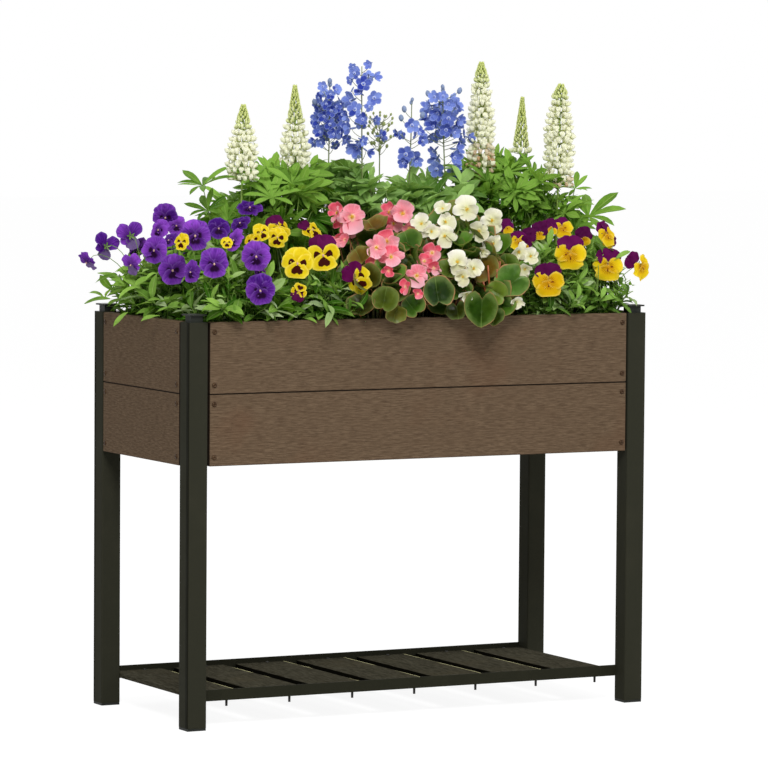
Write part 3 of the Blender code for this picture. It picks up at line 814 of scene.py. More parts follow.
def edging(rng, node):
    """Bases and ways out of the leaves that lie over the rim where this plant meets it."""
    low, high = box(node)
    bases, out = [np.zeros((0, 3))], [np.zeros((0, 3))]
    for axis, sign in ((1, -1), (0, -1), (0, 1), (1, 1)):
        wall = (BED_LOW if sign < 0 else BED_HIGH)[axis]
        if (low[axis] < wall if sign < 0 else high[axis] > wall):
            along = 1 - axis
            start = max(low[along], BED_LOW[along] + 0.01)
            end = min(high[along], BED_HIGH[along] - 0.01)
            count = max(int((end - start) / EDGE_SPACING), 1)
            base, way = np.zeros((count, 3)), np.zeros((count, 3))
            base[:, along] = rng.uniform(start, end, count)
            base[:, axis] = wall - sign * rng.uniform(0.004, 0.022, count)
            base[:, 2] = RIM + rng.uniform(-0.012, 0.014, count)
            way[:, axis] = sign
            way[:, along] = rng.normal(0, 0.9, count)
            way[:, 2] = rng.uniform(0.10, 0.9, count) + (1.2 if axis == 0 and sign > 0 else 0.0)
            bases.append(base)
            out.append(unit(way))
    return joined(bases, out)


def small_leaves(node, seed, material, slot, length):
    """All the leaves and the leafy stems of one low plant. Few leaves hang over the planks,
    none lies in front of a flower, and those of the rim come last."""
    rng = np.random.default_rng(seed)
    low, high = box(node)
    curves, out = sprigs(rng, node)
    points, pose, height = leafy(rng, curves, out)
    grown = length * rng.uniform(0.45, 1.1, len(points))
    tips = points + pose[:, :, 1] * grown[:, None]
    flat = tips[:, :2]
    outside = np.any((flat < BED_LOW[:2] - 0.012) | (flat > BED_HIGH[:2] + 0.012), axis=1)
    kept = ~outside | (tips[:, 2] > RIM + 0.010) | (rng.random(len(points)) > 0.90)
    kept &= tips[:, 0] <= REACH_RIGHT
    edge, way = edging(rng, node)
    upper = UP + 0.6 * way + rng.normal(0, 0.25, way.shape)
    points, pose, height, grown = joined(
        (points[kept], edge), (pose[kept], growing(way, upper)),
        (height[kept], rng.uniform(0.2, 0.9, len(edge))),
        (grown[kept], length * rng.uniform(0.45, 0.75, len(edge))))
    kept = open_before_flowers(points + pose[:, :, 1] * grown[:, None] * 0.6)
    points, pose, height, grown = picked(kept, points, pose, height, grown)
    count = len(points)
    level = np.clip((points[:, 2] - RIM + 0.01) / (high[2] - RIM), 0, 1)
    # Painted shade and light: leaves low on the stem and low in the dome are darker, those near the
    # top lighter
    shade = varied(rng, 0.06 + 0.30 * height + 0.45 * level, 0.26)
    kind = (rng.random(count) > 0.82) * rng.uniform(0.3, 0.9, count)
    width = SMALL_LEAF_WIDTH * rng.uniform(0.75, 1.2, count) * (grown / length)
    droop, fold = rng.uniform(0.1, 1.2, count), rng.uniform(0.15, 0.7, count)
    leaves = Skin()
    blades(leaves, points, pose, grown, width, droop, fold, shade, kind, **SMALL_BLADE)
    placed = np.array(RIM_LEAVES.get(node, ()), float).reshape(-1, 2, 3) / 1000 + low
    if len(placed):
        way = placed[:, 1] - placed[:, 0]
        grown = np.linalg.norm(way, axis=1)
        upper = UP + np.array([-0.25, -0.55, 0.0]) + 0 * way
        pose = growing(way + UP * 0.3 * grown[:, None], upper)
        shade = rng.uniform(0.25, 0.65, len(grown))
        blades(leaves, placed[:, 0], pose, grown * 1.1, grown * 0.28, 0.7, 0.30, shade, 0.0,
               rows=8, **SMALL_BLADE)
    tubes(leaves, curves, 0.0011, 0.55 + 0.3 * rng.random(len(curves)), around=4)
    leaves.piece(f"{node}_leaves", material, slot, node)


def flower_stems(rng, skin, node, tips, pose, radius=0.0011, sag=0.30, shade=0.7, kind=0.0):
    """Thin stalks from the soil to the backs of the flowers, which they meet from behind."""
    middle = sum(box(node)) / 2
    feet = rooted(middle + (tips - middle) * 0.7 + rng.normal(0, 0.008, tips.shape))
    reach = np.linalg.norm(tips - feet, axis=1, keepdims=True)
    back = tips - pose[:, :, 2] * 0.004
    first = feet + UP * reach * 0.55
    second = back - pose[:, :, 2] * reach * sag + UP * reach * 0.04
    tubes(skin, bends(feet, first, second, back, 10), radius, shade, kind)


# Flowers of five petals, back to front. A petal's row: angle in degrees from upright, how
# far out its middle is, half width, half length, layer, taper, notch, spot (0.5 on side
# petals, 1 on the lowest), painted second or not
VIOLET_PETALS = (
    (-25, 0.29, 0.280, 0.270, -0.050, 0.15, 0.08, 0.0, 1),
    (25, 0.29, 0.285, 0.270, -0.040, 0.15, 0.08, 0.0, 1),
    (-84, 0.225, 0.265, 0.260, -0.015, 0.15, 0.02, 0.5, 0),
    (84, 0.225, 0.270, 0.260, -0.005, 0.15, 0.02, 0.5, 0),
    (180, 0.19, 0.360, 0.275, 0.010, 0.20, 0.06, 1.0, 0),
)
YELLOW_PETALS = (
    (-24, 0.27, 0.280, 0.265, -0.050, 0.15, 0.04, 0.0, 1),
    (24, 0.27, 0.285, 0.265, -0.040, 0.15, 0.04, 0.0, 1),
    (-76, 0.24, 0.260, 0.255, -0.015, 0.15, 0.03, 0.5, 0),
    (76, 0.24, 0.260, 0.255, -0.005, 0.15, 0.03, 0.5, 0),
    (180, 0.205, 0.370, 0.265, 0.010, 0.25, 0.10, 1.0, 0),
)
PLUM_TOP_PETALS = (
    (-20, 0.37, 0.280, 0.275, -0.050, 0.15, 0.04, 0.0, 1),
    (20, 0.37, 0.285, 0.275, -0.040, 0.15, 0.04, 0.0, 1),
    *YELLOW_PETALS[2:],
)
VIOLA_PETALS = (
    *PLUM_TOP_PETALS[:2],
    (-74, 0.24, 0.265, 0.265, -0.015, 0.12, 0.02, 0.5, 0),
    (74, 0.24, 0.270, 0.265, -0.005, 0.12, 0.02, 0.5, 0),
    (180, 0.19, 0.400, 0.290, 0.010, 0.15, 0.22, 1.0, 0),
)
DARK_VIOLA_PETALS = (
    *PLUM_TOP_PETALS[:2],
    (-76, 0.24, 0.255, 0.255, -0.015, 0.12, 0.02, 0.0, 1),
    (76, 0.24, 0.255, 0.255, -0.005, 0.12, 0.02, 0.0, 1),
    (180, 0.20, 0.330, 0.260, 0.010, 0.20, 0.20, 1.0, 0),
)
# Seen from behind: separate petals, the lowest one greyish
BACK_PETALS = (
    (-52, 0.27, 0.240, 0.260, -0.050, 0.15, 0.02, 0.0, 0),
    (42, 0.28, 0.245, 0.265, -0.040, 0.15, 0.02, 0.0, 0),
    (112, 0.20, 0.160, 0.190, -0.015, 0.15, 0.02, 0.0, 0),
    (180, 0.22, 0.230, 0.250, 0.010, 0.15, 0.05, 0.0, 1),
)
PETAL_RINGS = 3
PANSY_TILT, BEGONIA_TILT, BEGONIA_LEAF_TILT = 0.07, 0.22, 0.28  # spread of the lean, radians
# The kinds of pansy and viola heads: first seed, petal material, share that is painted
# second, petals
HEAD_KINDS = {
    "violet_heads": (31, "violet_petal", 0.0, VIOLET_PETALS),
    "turned_heads": (37, "violet_petal", 0.8, BACK_PETALS),
    "yellow_heads": (41, "yellow_petal", 0.0, YELLOW_PETALS),
    "plum_topped_heads": (51, "yellow_petal", 1.0, PLUM_TOP_PETALS),
    "golden_heads": (81, "golden_petal", 1.0, VIOLA_PETALS),
    "dark_heads": (86, "golden_petal", 1.0, DARK_VIOLA_PETALS),
    "side_plum": (88, "golden_petal", 1.0, VIOLA_PETALS[:2]),
    "side_golden": (89, "golden_petal", 0.0, VIOLA_PETALS[2:]),
}
# Where the flowers are. Each row: right of, behind and above the low front corner of the
# plant's box (mm), size (mm), turn, tip and roll (degrees), shade. The turned heads look
# away from the front, dark ones have plum side petals too, and the viola at the right end,
# seen from its side, has plum petals to the left and golden ones to the right
HEADS = {
    "violet_heads": {
        "pansy_violet_left": (
            (172, 165, 220, 54, 20, -14, 5, 0.35), (150, 150, 196, 46, 66, 10, -10, 0.80),
            (190, 150, 204, 44, 30, 30, 10, 0.70), (108, 80, 158, 56, 48, 4, -6, 0.55),
            (126, 30, 120, 62, 34, 0, 4, 0.55), (140, 80, 178, 40, 60, 40, 0, 0.35),
            (150, 260, 150, 58, 150, 20, 0, 0.50),
        ),
        "pansy_violet_front": (
            (39, 165, 191, 64, 30, 6, 0, 0.45), (38, 75, 139, 60, 24, 2, 4, 0.42),
            (130, 75, 152, 62, 26, 6, -3, 0.50), (120, 35, 87, 62, 30, -4, 8, 0.25),
            (98, 180, 204, 50, 20, 30, 0, 0.05), (150, 190, 214, 46, 60, 45, 20, 0.10),
            (190, 228, 243, 56, 20, 62, -20, 0.15), (112, 140, 182, 48, 74, 20, 10, 0.90),
            (20, 145, 120, 46, 70, 5, 10, 0.50), (150, 100, 122, 30, 60, -20, 10, 0.80),
        ),
    },
    "turned_heads": {
        "pansy_violet_left": (
            (64, 220, 160, 60, 176, -14, 14, 0.25), (110, 200, 182, 62, 192, -10, -16, 0.35),
            (80, 130, 127, 50, 62, -16, 0, 0.75), (14, 200, 130, 50, 64, -40, 30, 0.45),
        ),
    },
    "yellow_heads": {
        "pansy_yellow_front": (
            (3, 150, 186, 44, 20, 12, -8, 0.55), (-29, 156, 197, 38, 0, 20, 20, 0.65),
            (-52, 150, 182, 36, 40, 40, 20, 0.35), (3, 60, 138, 65, 24, 2, -4, 0.60),
        ),
        "pansy_violet_front": (
            (92, 130, 178, 26, 20, 20, 0, 0.60), (1, 150, 180, 36, 60, 10, 0, 0.60),
        ),
    },
    "plum_topped_heads": {
        "pansy_yellow_front": (
            (73, 85, 152, 68, 28, 4, 6, 0.60), (138, 60, 103, 62, 56, -6, 40, 0.55),
            (20, 175, 204, 50, 10, 20, 20, 0.35), (86, 160, 200, 48, -20, 40, 20, 0.35),
            (7, 60, 84, 34, 20, 20, 160, 0.20),
        ),
    },
    "golden_heads": {
        "viola_gold_front": (
            (100, 90, 144, 66, 26, 2, 0, 0.65), (26, 50, 91, 65, 26, -2, 2, 0.35),
            (130, 175, 196, 46, 10, 30, 0, 0.60), (0, 130, 172, 40, 30, 20, 0, 0.75),
        ),
        "viola_gold_right": (
            (51, 55, 117, 63, 26, 4, -3, 0.80), (84, 115, 180, 52, -20, 16, 10, 0.60),
        ),
    },
    "dark_heads": {
        "viola_gold_front": (
            (60, 150, 190, 38, 30, 20, 0, 0.25), (96, 165, 198, 36, 10, 24, 10, 0.50),
            (26, 140, 180, 38, 40, 20, -10, 0.20), (-8, 165, 200, 34, 20, 24, 20, 0.45),
            (10, 120, 166, 30, 50, 10, 0, 0.25),
        ),
        "viola_gold_right": (
            (30, 120, 176, 40, 40, 12, 14, 0.25), (96, 130, 166, 34, 20, 10, -20, 0.40),
        ),
    },
    "side_plum": {"viola_gold_right": ((172, 135, 119, 48, 38, 6, 62, 0.55),)},
    "side_golden": {"viola_gold_right": ((181, 135, 112, 58, -28, 0, 36, 0.75),)},
    "begonia_heads": {
        "begonia_pink_front": (
            (11, 165, 225, 66, 30, 8, 6, 0.25), (-4, 180, 214, 42, 60, -10, 40, 0.85),
            (15, 178, 198, 40, 10, -20, 0, 0.90), (-18, 172, 233, 46, 70, 10, 20, 0.70),
            (119, 150, 231, 62, 30, 5, -20, 0.25), (97, 165, 234, 44, 60, 0, 30, 0.95),
            (104, 160, 212, 42, 40, -20, 60, 0.90), (128, 140, 202, 42, 10, -10, 60, 0.30),
            (47, 80, 179, 52, 24, 10, 30, 0.30), (18, 70, 167, 54, 40, 0, -30, 0.35),
            (45, 60, 148, 56, 16, 4, 10, 0.55), (8, 75, 134, 34, 30, 10, 40, 0.75),
            (147, 75, 154, 46, 30, 10, 40, 0.75), (126, 70, 138, 38, 10, 0, 0, 0.95),
            (143, 60, 124, 34, 30, -10, 20, 0.60), (94, 40, 111, 54, 30, 0, -10, 0.40),
            (61, 25, 90, 32, 40, 0, 50, 1.00), (88, 25, 76, 28, 20, -10, 10, 1.00),
            (33, 45, 121, 30, 40, 0, 0, 0.90), (-36, 140, 181, 36, 30, 10, 0, 0.70),
            (-38, 100, 182, 30, 50, 0, 30, 0.55),
        ),
        "begonia_white_front": (
            (26, 110, 241, 44, 30, 20, 40, 0.5), (93, 130, 239, 62, 24, 8, 10, 0.5),
            (-22, 110, 212, 46, 34, 6, 0, 0.5), (-7, 95, 197, 44, 24, -8, 30, 0.5),
            (27, 100, 215, 46, 10, 10, 70, 0.5), (18, 85, 188, 50, 26, -4, -10, 0.5),
            (147, 120, 216, 58, 26, 6, 0, 0.5), (100, 90, 196, 50, 36, 0, 30, 0.5),
            (127, 80, 172, 46, 20, -16, 60, 0.5), (101, 75, 157, 28, 20, -20, 0, 0.4),
            (188, 80, 153, 48, 30, 0, 60, 0.5), (211, 75, 145, 44, 0, -6, 20, 0.5),
            (197, 70, 119, 38, 40, -14, -20, 0.5), (26, 45, 137, 54, 28, 0, 10, 0.5),
            (57, 35, 124, 46, 10, -6, -40, 0.5), (31, 30, 108, 40, 40, -10, 20, 0.3),
            (37, 25, 73, 28, 20, -30, 0, 0.6), (156, 30, 55, 28, 20, -20, 0, 0.7),
        ),
    },
}
# Each row: the middle of a begonia's leaf and its size, turn, tip, roll and shade as for
# the flowers, and how bronze it is
BEGONIA_LEAVES = {
    "begonia_pink_front": (
        (-6, 60, 102, 60, 40, 20, 20, 0.25, 0.55), (-24, 56, 50, 56, 50, 34, 0, 0.06, 0.60),
        (14, 28, 64, 56, 30, 10, -10, 0.45, 0.25), (50, 50, 86, 64, 34, 20, -30, 0.15, 0.35),
        (44, 32, 40, 46, 24, -20, 160, 0.50, 0.45), (83, 40, 48, 48, 20, 10, 40, 0.40, 0.00),
        (134, 28, 78, 68, 26, 12, 8, 0.15, 0.00), (86, 80, 122, 58, 24, 30, 10, 0.20, 0.10),
        (105, 100, 176, 52, 30, 30, 20, 0.45, 0.00), (53, 150, 203, 56, 30, 54, 30, 0.55, 0.80),
        (-10, 90, 145, 54, 60, 30, 40, 0.60, 0.70),
    ),
    "begonia_white_front": (
        (67, 16, 38, 76, 28, 8, 178, 0.30, 0.00), (30, 50, 36, 46, 50, 34, 200, 0.02, 0.35),
        (112, 44, 22, 46, 30, 30, 170, 0.02, 0.10), (152, 45, 92, 78, 16, 24, 130, 0.50, 0.00),
        (115, 40, 73, 50, 50, -10, 60, 0.85, 0.20), (135, 50, 47, 52, 30, 20, -30, 0.50, 0.00),
        (109, 80, 119, 58, 40, 20, 30, 0.55, 0.75), (19, 60, 119, 54, 30, 24, -10, 0.45, 0.20),
        (36, 60, 80, 52, 34, 20, 20, 0.35, 0.00), (92, 140, 207, 56, 20, 40, 10, 0.80, 0.00),
        (85, 120, 168, 58, 30, 30, -20, 0.55, 0.00), (148, 85, 162, 52, 30, 24, 30, 0.60, 0.00),
        (155, 70, 128, 50, 20, 20, 10, 0.40, 0.10),
    ),
}


def heads(node, rows):
    """A plant's flowers or leaves from its table: points, sizes and the other columns."""
    table = np.array(rows, float)
    return box(node)[0] + table[:, :3] / 1000, table[:, 3] / 1000, *table[:, 4:].T


def scattered_heads(seed, node, count, size):
    """Rows for flowers spread over a plant's dome, facing up and away from the front."""
    rng = np.random.default_rng(seed)
    low, high = box(node)
    across = (np.arange(count) + 0.5) / count * (high - low)[0]
    deep = (high - low)[1] * (0.50 + 0.40 * rng.random(count))
    back = deep / (high - low)[1] - 0.5
    up = (high[2] - low[2]) * (0.95 - 0.40 * back * 2) - rng.uniform(0, 0.03, count)
    turn = 180 + rng.uniform(-50, 50, count)
    return values(
        across * 1000, deep * 1000, up * 1000, size * 1000 * rng.uniform(0.85, 1.1, count), turn,
        rng.uniform(-5, 40, count), rng.uniform(-15, 15, count), rng.uniform(0.35, 0.75, count))


def open_before_flowers(points, share=0.68):
    """True for the points that lie in front of no flower. In front of one is within share
    of its size from the line out of its face, and up to 130 mm along it."""
    kept = np.ones(len(points), bool)
    for node, rows in (item for kind in HEADS.values() for item in kind.items()):
        base, size, turn, tip, roll, _ = heads(node, rows)
        outward = facing(np.clip(turn, -60, 110), tip, roll)[:, :, 2]
        away = points[:, None] - base
        ahead = (away * outward).sum(-1)
        aside = np.linalg.norm(away - ahead[..., None] * outward, axis=-1)
        kept &= ~((ahead > -0.008) & (ahead < 0.13) & (aside < share * size)).any(1)
    return kept


def pansy_heads(rng, node, rows, title, petal, slot, eye, stem, second, petals):
    """Flowers of overlapping ruffled petals round a small raised eye, with five narrow green
    sepals behind, and their stalks."""
    base, size, turn, tip, roll, shade = heads(node, rows)
    pose = facing(turn, tip, roll)
    flowers, eyes, stalks = Skin(), Skin(), Skin()
    count = len(base)
    phase = rng.uniform(0, TAU, count)
    for number, (*shape, spot, upper) in enumerate(petals):
        leaned = tilted(rng, pose, PANSY_TILT)
        shades = varied(rng, shade, 0.09)
        curl = -0.22 + rng.normal(0, 0.12, count)
        discs(flowers, base, leaned, size, shape, shades, second * upper, curl,
              phase + 1.7 * number, 0.042, 4, 0.038, spot=spot, around=18)
    outward = pose[:, :, 2]
    eggs(eyes, base - outward * 0.02 * size[:, None], growing(outward, pose[:, :, 1]),
         0.085 * size, 0.075 * size, 0.095 * size, 0.5, 0.0, 0.6, 4, 6, along=0.0)
    for around in TAU * np.arange(5) / 5:
        across = math.sin(around) * pose[:, :, 0] + math.cos(around) * pose[:, :, 1]
        sepal = growing(unit(across - outward * 0.25), -outward)
        blades(stalks, base - outward * 0.070 * size[:, None], sepal, 0.17 * size, 0.060 * size,
               -0.3, 0.2, 0.7, widest=0.4, blunt=0.7, rows=3, columns=2)
    flower_stems(rng, stalks, node, base - outward * 0.003, pose)
    flowers.piece(f"{node}_{title}", petal, slot)
    eyes.piece(f"{node}_{title}_eyes", eye, slot)
    stalks.piece(f"{node}_{title}_stalks", stem, "pansy_leaf")


def pansies(flower, seed, length, leaf_tones, eye_tones, petals):
    """The plants whose names start with the flower's: their leaves, then each kind of head."""
    leaf = leaf_material(f"{flower}_leaf", *leaf_tones)
    stem = stem_material(f"{flower}_stem", (60, 96, 26), (120, 150, 66), (90, 60, 60))
    eye = petal_material(f"{flower}_eye", *eye_tones)
    for number, node in enumerate(node for node in LOW_PLANTS if node.startswith(flower)):
        small_leaves(node, seed + number, leaf, f"{flower}_leaf", length)
    for title, (first, slot, second, shapes) in HEAD_KINDS.items():
        for number, (node, rows) in enumerate(HEADS[title].items()):
            if slot in petals:
                rng = np.random.default_rng(first + number)
                pansy_heads(rng, node, rows, title, petals[slot], slot, eye, stem, second, shapes)


def pansies_and_violas():
    violet = petal_material(
        "violet_petal",
        (64, 18, 118), (156, 78, 212), (126, 108, 150), (34, 4, 44), (160, 116, 206),
        softness=0.28, rays=0.95, fray=0.8, heart=(52, 8, 88), rimmed=0.22,
        fans=((84, 0.10, 0.62, 0.11, 0.0), (180, 0.125, 0.90, 0.15, 0.03)))
    yellow = petal_material(
        "yellow_petal", (208, 176, 2), (242, 218, 36), (108, 16, 86), (58, 12, 6), (248, 230, 96),
        softness=0.07, rays=0.3, fray=0.35,
        fans=((82, 0.155, 0.56, 0.125, 0.0), (180, 0.195, 0.76, 0.150, 0.05)))
    gold = petal_material(
        "golden_petal", (214, 172, 2), (246, 216, 26), (104, 14, 86), (120, 48, 8), (242, 212, 92),
        rays=0.4, fray=0.7, heart=(214, 152, 10), hairs=0.75,
        fans=((78, 0.11, 0.20, 0.06, 0.0), (180, 0.09, 0.24, 0.05, 0.0)))
    pansies("pansy", 11, 0.055, ((40, 88, 2), (158, 200, 90), (200, 216, 170), (170, 196, 116)),
            ((206, 164, 150), (230, 190, 170), (240, 200, 60), (240, 200, 60), (240, 214, 190)),
            {"violet_petal": violet, "yellow_petal": yellow})
    pansies("viola", 71, 0.042, ((34, 78, 2), (150, 192, 88), (200, 216, 170), (175, 200, 120)),
            ((210, 140, 20), (236, 180, 40), (240, 200, 60), (240, 200, 60), (240, 190, 60)),
            {"golden_petal": gold})


# Begonias


# Thick red shoots that show between the leaves, foot and tip as in the other tables (mm)
BEGONIA_SHOOTS = {
    "begonia_white_front": (
        (118, 74, 10, 104, 58, 128), (120, 70, 14, 122, 52, 120), (126, 78, 10, 134, 60, 140),
        (112, 66, 30, 92, 56, 96),
    ),
    "begonia_pink_front": ((60, 84, 10, 34, 70, 136), (84, 80, 10, 112, 64, 120)),
}
# The four petals of a flower: angle in degrees from upright, how far out its middle is,
# half width, half length, layer, and how much deeper its shade is
BEGONIA_PETALS = (
    (6, 0.22, 0.33, 0.25, 0.00, 0.22), (-84, 0.24, 0.18, 0.25, 0.02, 0.10),
    (92, 0.24, 0.17, 0.24, 0.03, 0.00), (174, 0.22, 0.32, 0.25, 0.04, -0.25),
)
STAMENS = 9


def round_leaves(rng, skin, base, pose, size, shade, kind, loose=1.0, rows=3, around=16):
    """Begonia leaves: rounded blades, a little longer on one side, cupped and waved, with a
    notch where the stalk joins. The paint's along is nought on the veins, which fan out
    from the joint. Loose ones are leaned and folded more."""
    copies = len(base)
    rho, phi = along_rows(rows), -round_columns(around)
    size, shade, kind, wave = spread(copies, size, shade, kind, rng.uniform(0, TAU, copies))
    pose = tilted(rng, pose, BEGONIA_LEAF_TILT * loose)
    bowl, fold, wide = spread(
        copies, rng.uniform(0.3, 1.5, copies), rng.uniform(0.0, 0.5 * loose, copies),
        rng.uniform(0.90, 1.12, copies))
    notch = np.exp(-(np.cos(phi) / 0.26) ** 2) * (np.sin(phi) < 0)
    radius = 0.5 * rho * (1 - 0.42 * notch * rho) * (1 + 0.08 * np.cos(phi + 0.6))
    waves = 0.014 * np.sin(7 * phi + wave) + 0.022 * np.sin(3 * phi + 2.3 * wave)
    radius = radius * (1 + rho * waves)
    x = radius * np.cos(phi) * wide
    y = radius * np.sin(phi)
    joint = -0.28
    veins = np.abs(np.sin(3.5 * np.arctan2(x, y - joint)))
    cup = bowl * radius ** 2 + fold * np.abs(x) - 0.35 * np.maximum(y, 0) ** 2
    cup = cup - 0.020 * (1 - veins) * (1 - rho)
    z = cup + 0.055 * rho ** 3 * np.sin(5 * phi + wave) - 0.035 * np.exp(-(x / 0.05) ** 2)
    local = size[..., None] * values(x, y, z)
    skin.add(posed(base, pose, local), values(x, y), values(shade, veins, rho, kind), poles=1)


def begonia_heads(rng, skin, stamens, base, pose, size, shade):
    """Flowers of two broad and two narrow petals round a knot of yellow stamens. The lower
    broad petal is the paler one and is cupped, more so in half-open flowers."""
    count = len(base)
    shut = np.clip((0.045 - size) / 0.015, 0, 1)
    for number, (*shape, deeper) in enumerate(BEGONIA_PETALS):
        leaned = tilted(rng, pose, BEGONIA_TILT)
        grown = size * rng.uniform(0.84, 1.08, count)
        shades = varied(rng, shade + deeper, 0.16)
        curl = 0.60 + 1.0 * shut + rng.normal(0, 0.40, count)
        phase = rng.uniform(0, TAU, count) + number
        discs(skin, base, leaned, grown, (*shape, 0.12, 0.06), shades, 0.0, curl, phase, 0.065, 3,
              0.035, mark=(0.09, 0.12))
    opened = shut < 0.5
    base, pose, size = base[opened], pose[opened], size[opened]
    number = np.arange(STAMENS)
    spin, far = number * GOLDEN, 0.055 * np.sqrt(number / STAMENS)
    spots = values(far * np.cos(spin), far * np.sin(spin), 0.06 - 3.0 * far ** 2)
    middles = base[:, None] + np.einsum("kij,dj->kdi", pose, spots) * size[:, None, None]
    many = np.repeat(growing(pose[:, :, 2], pose[:, :, 1]), STAMENS, 0)
    grown = np.repeat(size, STAMENS) * 0.042
    eggs(stamens, middles.reshape(-1, 3), many, grown, grown, grown, 0.5, 0.0, 0.7, 3, 5, along=0.0)


def begonias():
    """Each plant: the placed leaves, then others over its dome, the flowers and the shoots."""
    leaf = begonia_leaf_material()
    stem = stem_material("begonia_stem", (44, 42, 16), (110, 116, 50), (186, 94, 56))
    pink = petal_material(
        "pink_petal",
        (252, 196, 208), (234, 74, 102), (232, 70, 96), (250, 214, 170), (254, 206, 210),
        softness=0.4, rays=0.9, rimmed=0.35, heart=(244, 142, 154))
    # The white petals' heart is a greenish tint towards the middle, partly their own colour and
    # partly painted shade
    white = petal_material(
        "white_petal",
        (228, 224, 192), (255, 252, 240), (250, 220, 210), (228, 224, 150), (252, 250, 238),
        softness=0.4, rays=0.8, rimmed=0.3, heart=(224, 224, 172))
    yellow = petal_material(
        "begonia_stamens",
        (228, 178, 40), (248, 210, 70), (240, 200, 60), (240, 190, 50), (250, 225, 120))
    for number, (node, rows) in enumerate(HEADS["begonia_heads"].items()):
        petal, slot = (pink, "pink_petal") if "pink" in node else (white, "white_petal")
        rng = np.random.default_rng(91 + number)
        leaves, stalks, flowers, stamens = Skin(), Skin(), Skin(), Skin()
        if node in BEGONIA_LEAVES:
            base, size, turn, tip, roll, shade, bronze = heads(node, BEGONIA_LEAVES[node])
            pose = facing(turn, tip, roll)
            round_leaves(rng, leaves, base, pose, size, shade, bronze, 0.35, 7, 28)
            joint = base - pose[:, :, 1] * size[:, None] * 0.30
            flower_stems(rng, stalks, node, joint, pose, 0.0020, 0.2, 0.3, 0.6)
        tips, out, far = dome(rng, node)
        lean = unit(out * (0.25 + 0.9 * far[:, None]) + UP * 0.8 + rng.normal(0, 0.28, tips.shape))
        pose = growing(out - UP * 0.3 + rng.normal(0, 0.3, tips.shape), lean)
        size = rng.uniform(0.042, 0.072, len(tips))
        tips, pose, size = picked(open_before_flowers(tips, share=0.75), tips, pose, size)
        count = len(tips)
        shade = np.clip(rng.normal(0.42, 0.25, count), 0, 1)
        bronze = (rng.random(count) > 0.78) * rng.uniform(0.4, 0.9, count)
        round_leaves(rng, leaves, tips, pose, size, shade, bronze)
        joint = tips - pose[:, :, 1] * size[:, None] * 0.3
        flower_stems(rng, stalks, node, joint, pose, 0.0018, 0.15, 0.2, 0.6)
        base, size, turn, tip, roll, shade = heads(node, rows)
        pose = facing(turn, tip, roll)
        begonia_heads(rng, flowers, stamens, base, pose, size, shade)
        flower_stems(rng, stalks, node, base - pose[:, :, 2] * 0.003, pose, 0.0013, 0.2, 0.5, 0.5)
        if node in BEGONIA_SHOOTS:
            shoots = np.array(BEGONIA_SHOOTS[node], float).reshape(-1, 2, 3) / 1000 + box(node)[0]
            foot, tip = shoots[:, 0], shoots[:, 1]
            low_bend = foot * 0.6 + tip * 0.4 + (0.006, -0.004, 0)
            path = bends(foot, low_bend, foot * 0.3 + tip * 0.7, tip, 8)
            tubes(stalks, path, 0.0036, 0.35, 0.8, 7, 0.5)
        leaves.piece(f"{node}_leaves", leaf, "begonia_leaf", node)
        stalks.piece(f"{node}_stalks", stem, "begonia_leaf")
        flowers.piece(f"{node}_flowers", petal, slot)
        stamens.piece(f"{node}_stamens", yellow, "yellow_petal")


# Lupins and delphiniums


# Each plant's leaves: seed, number, length (m), leaflets, their width to their length,
# their widest place, teeth
TALL_LEAVES = {
    "lupin_leaves_left": (151, 165, 0.068, 9, 0.27, 0.60, 0.0),
    "lupin_leaves_right": (152, 225, 0.062, 9, 0.26, 0.60, 0.0),
    "delphinium_leaves": (153, 270, 0.058, 5, 0.44, 0.52, 0.12),
}
# Leaves with a place of their own, as in the tables of flowers
PLACED_LEAVES = {
    "lupin_leaves_left": (
        (14, 60, 286, 84, 60, 70, 0, 0.50), (30, 70, 236, 56, 60, 50, 30, 0.35),
        (70, 60, 215, 60, 40, 50, 0, 0.45), (150, 20, 262, 80, 20, 60, 0, 0.85),
        (200, 30, 290, 70, 40, 56, 20, 0.75), (120, 50, 300, 66, 10, 64, 40, 0.70),
    ),
    "lupin_leaves_right": (
        (94, 8, 262, 80, 26, 30, 0, 0.80), (312, 76, 212, 92, 27, 56, -20, 0.50),
        (250, 60, 190, 60, 40, 40, 10, 0.35), (278, 76, 272, 48, 10, 60, 0, 0.75),
        (120, 60, 310, 60, 40, 50, 0, 0.70), (236, 10, 70, 46, -70, 30, 0, 0.40),
        (238, 55, 95, 50, -90, 30, 20, 0.45), (236, 105, 65, 46, -105, 25, -10, 0.35),
        (222, 66, 104, 48, -80, 30, 0, 0.45), (226, 110, 104, 48, -100, 30, 10, 0.45),
        (238, 80, 40, 44, -85, 10, 0, 0.30),
    ),
}
# How high the tall leaves reach along the bed: x, height (m)
FOLIAGE_TOP = (
    (-0.42, 0.900), (-0.38, 0.930), (-0.34, 0.965), (-0.31, 1.000), (-0.28, 1.050), (-0.25, 1.085),
    (-0.20, 1.105), (-0.12, 1.110), (-0.07, 1.110), (-0.02, 1.115), (0.04, 1.080), (0.09, 1.075),
    (0.16, 1.085), (0.24, 1.110), (0.31, 1.120), (0.36, 1.130), (0.42, 1.115), (0.46, 1.065),
    (0.50, 1.010), (0.62, 0.960),
)
# Length of the flowers and width (m), share of the length in green bud, share that is spent
LUPIN_SPIKES = {
    "lupin_spike_1": (0.160, 0.066, 0.27, 0.0),
    "lupin_spike_2": (0.178, 0.068, 0.41, 0.0),
    "lupin_spike_3": (0.262, 0.060, 0.14, 0.40),
    "lupin_spike_4": (0.127, 0.076, 0.86, 0.0),
    "lupin_spike_5": (0.222, 0.066, 0.12, 0.18),
}
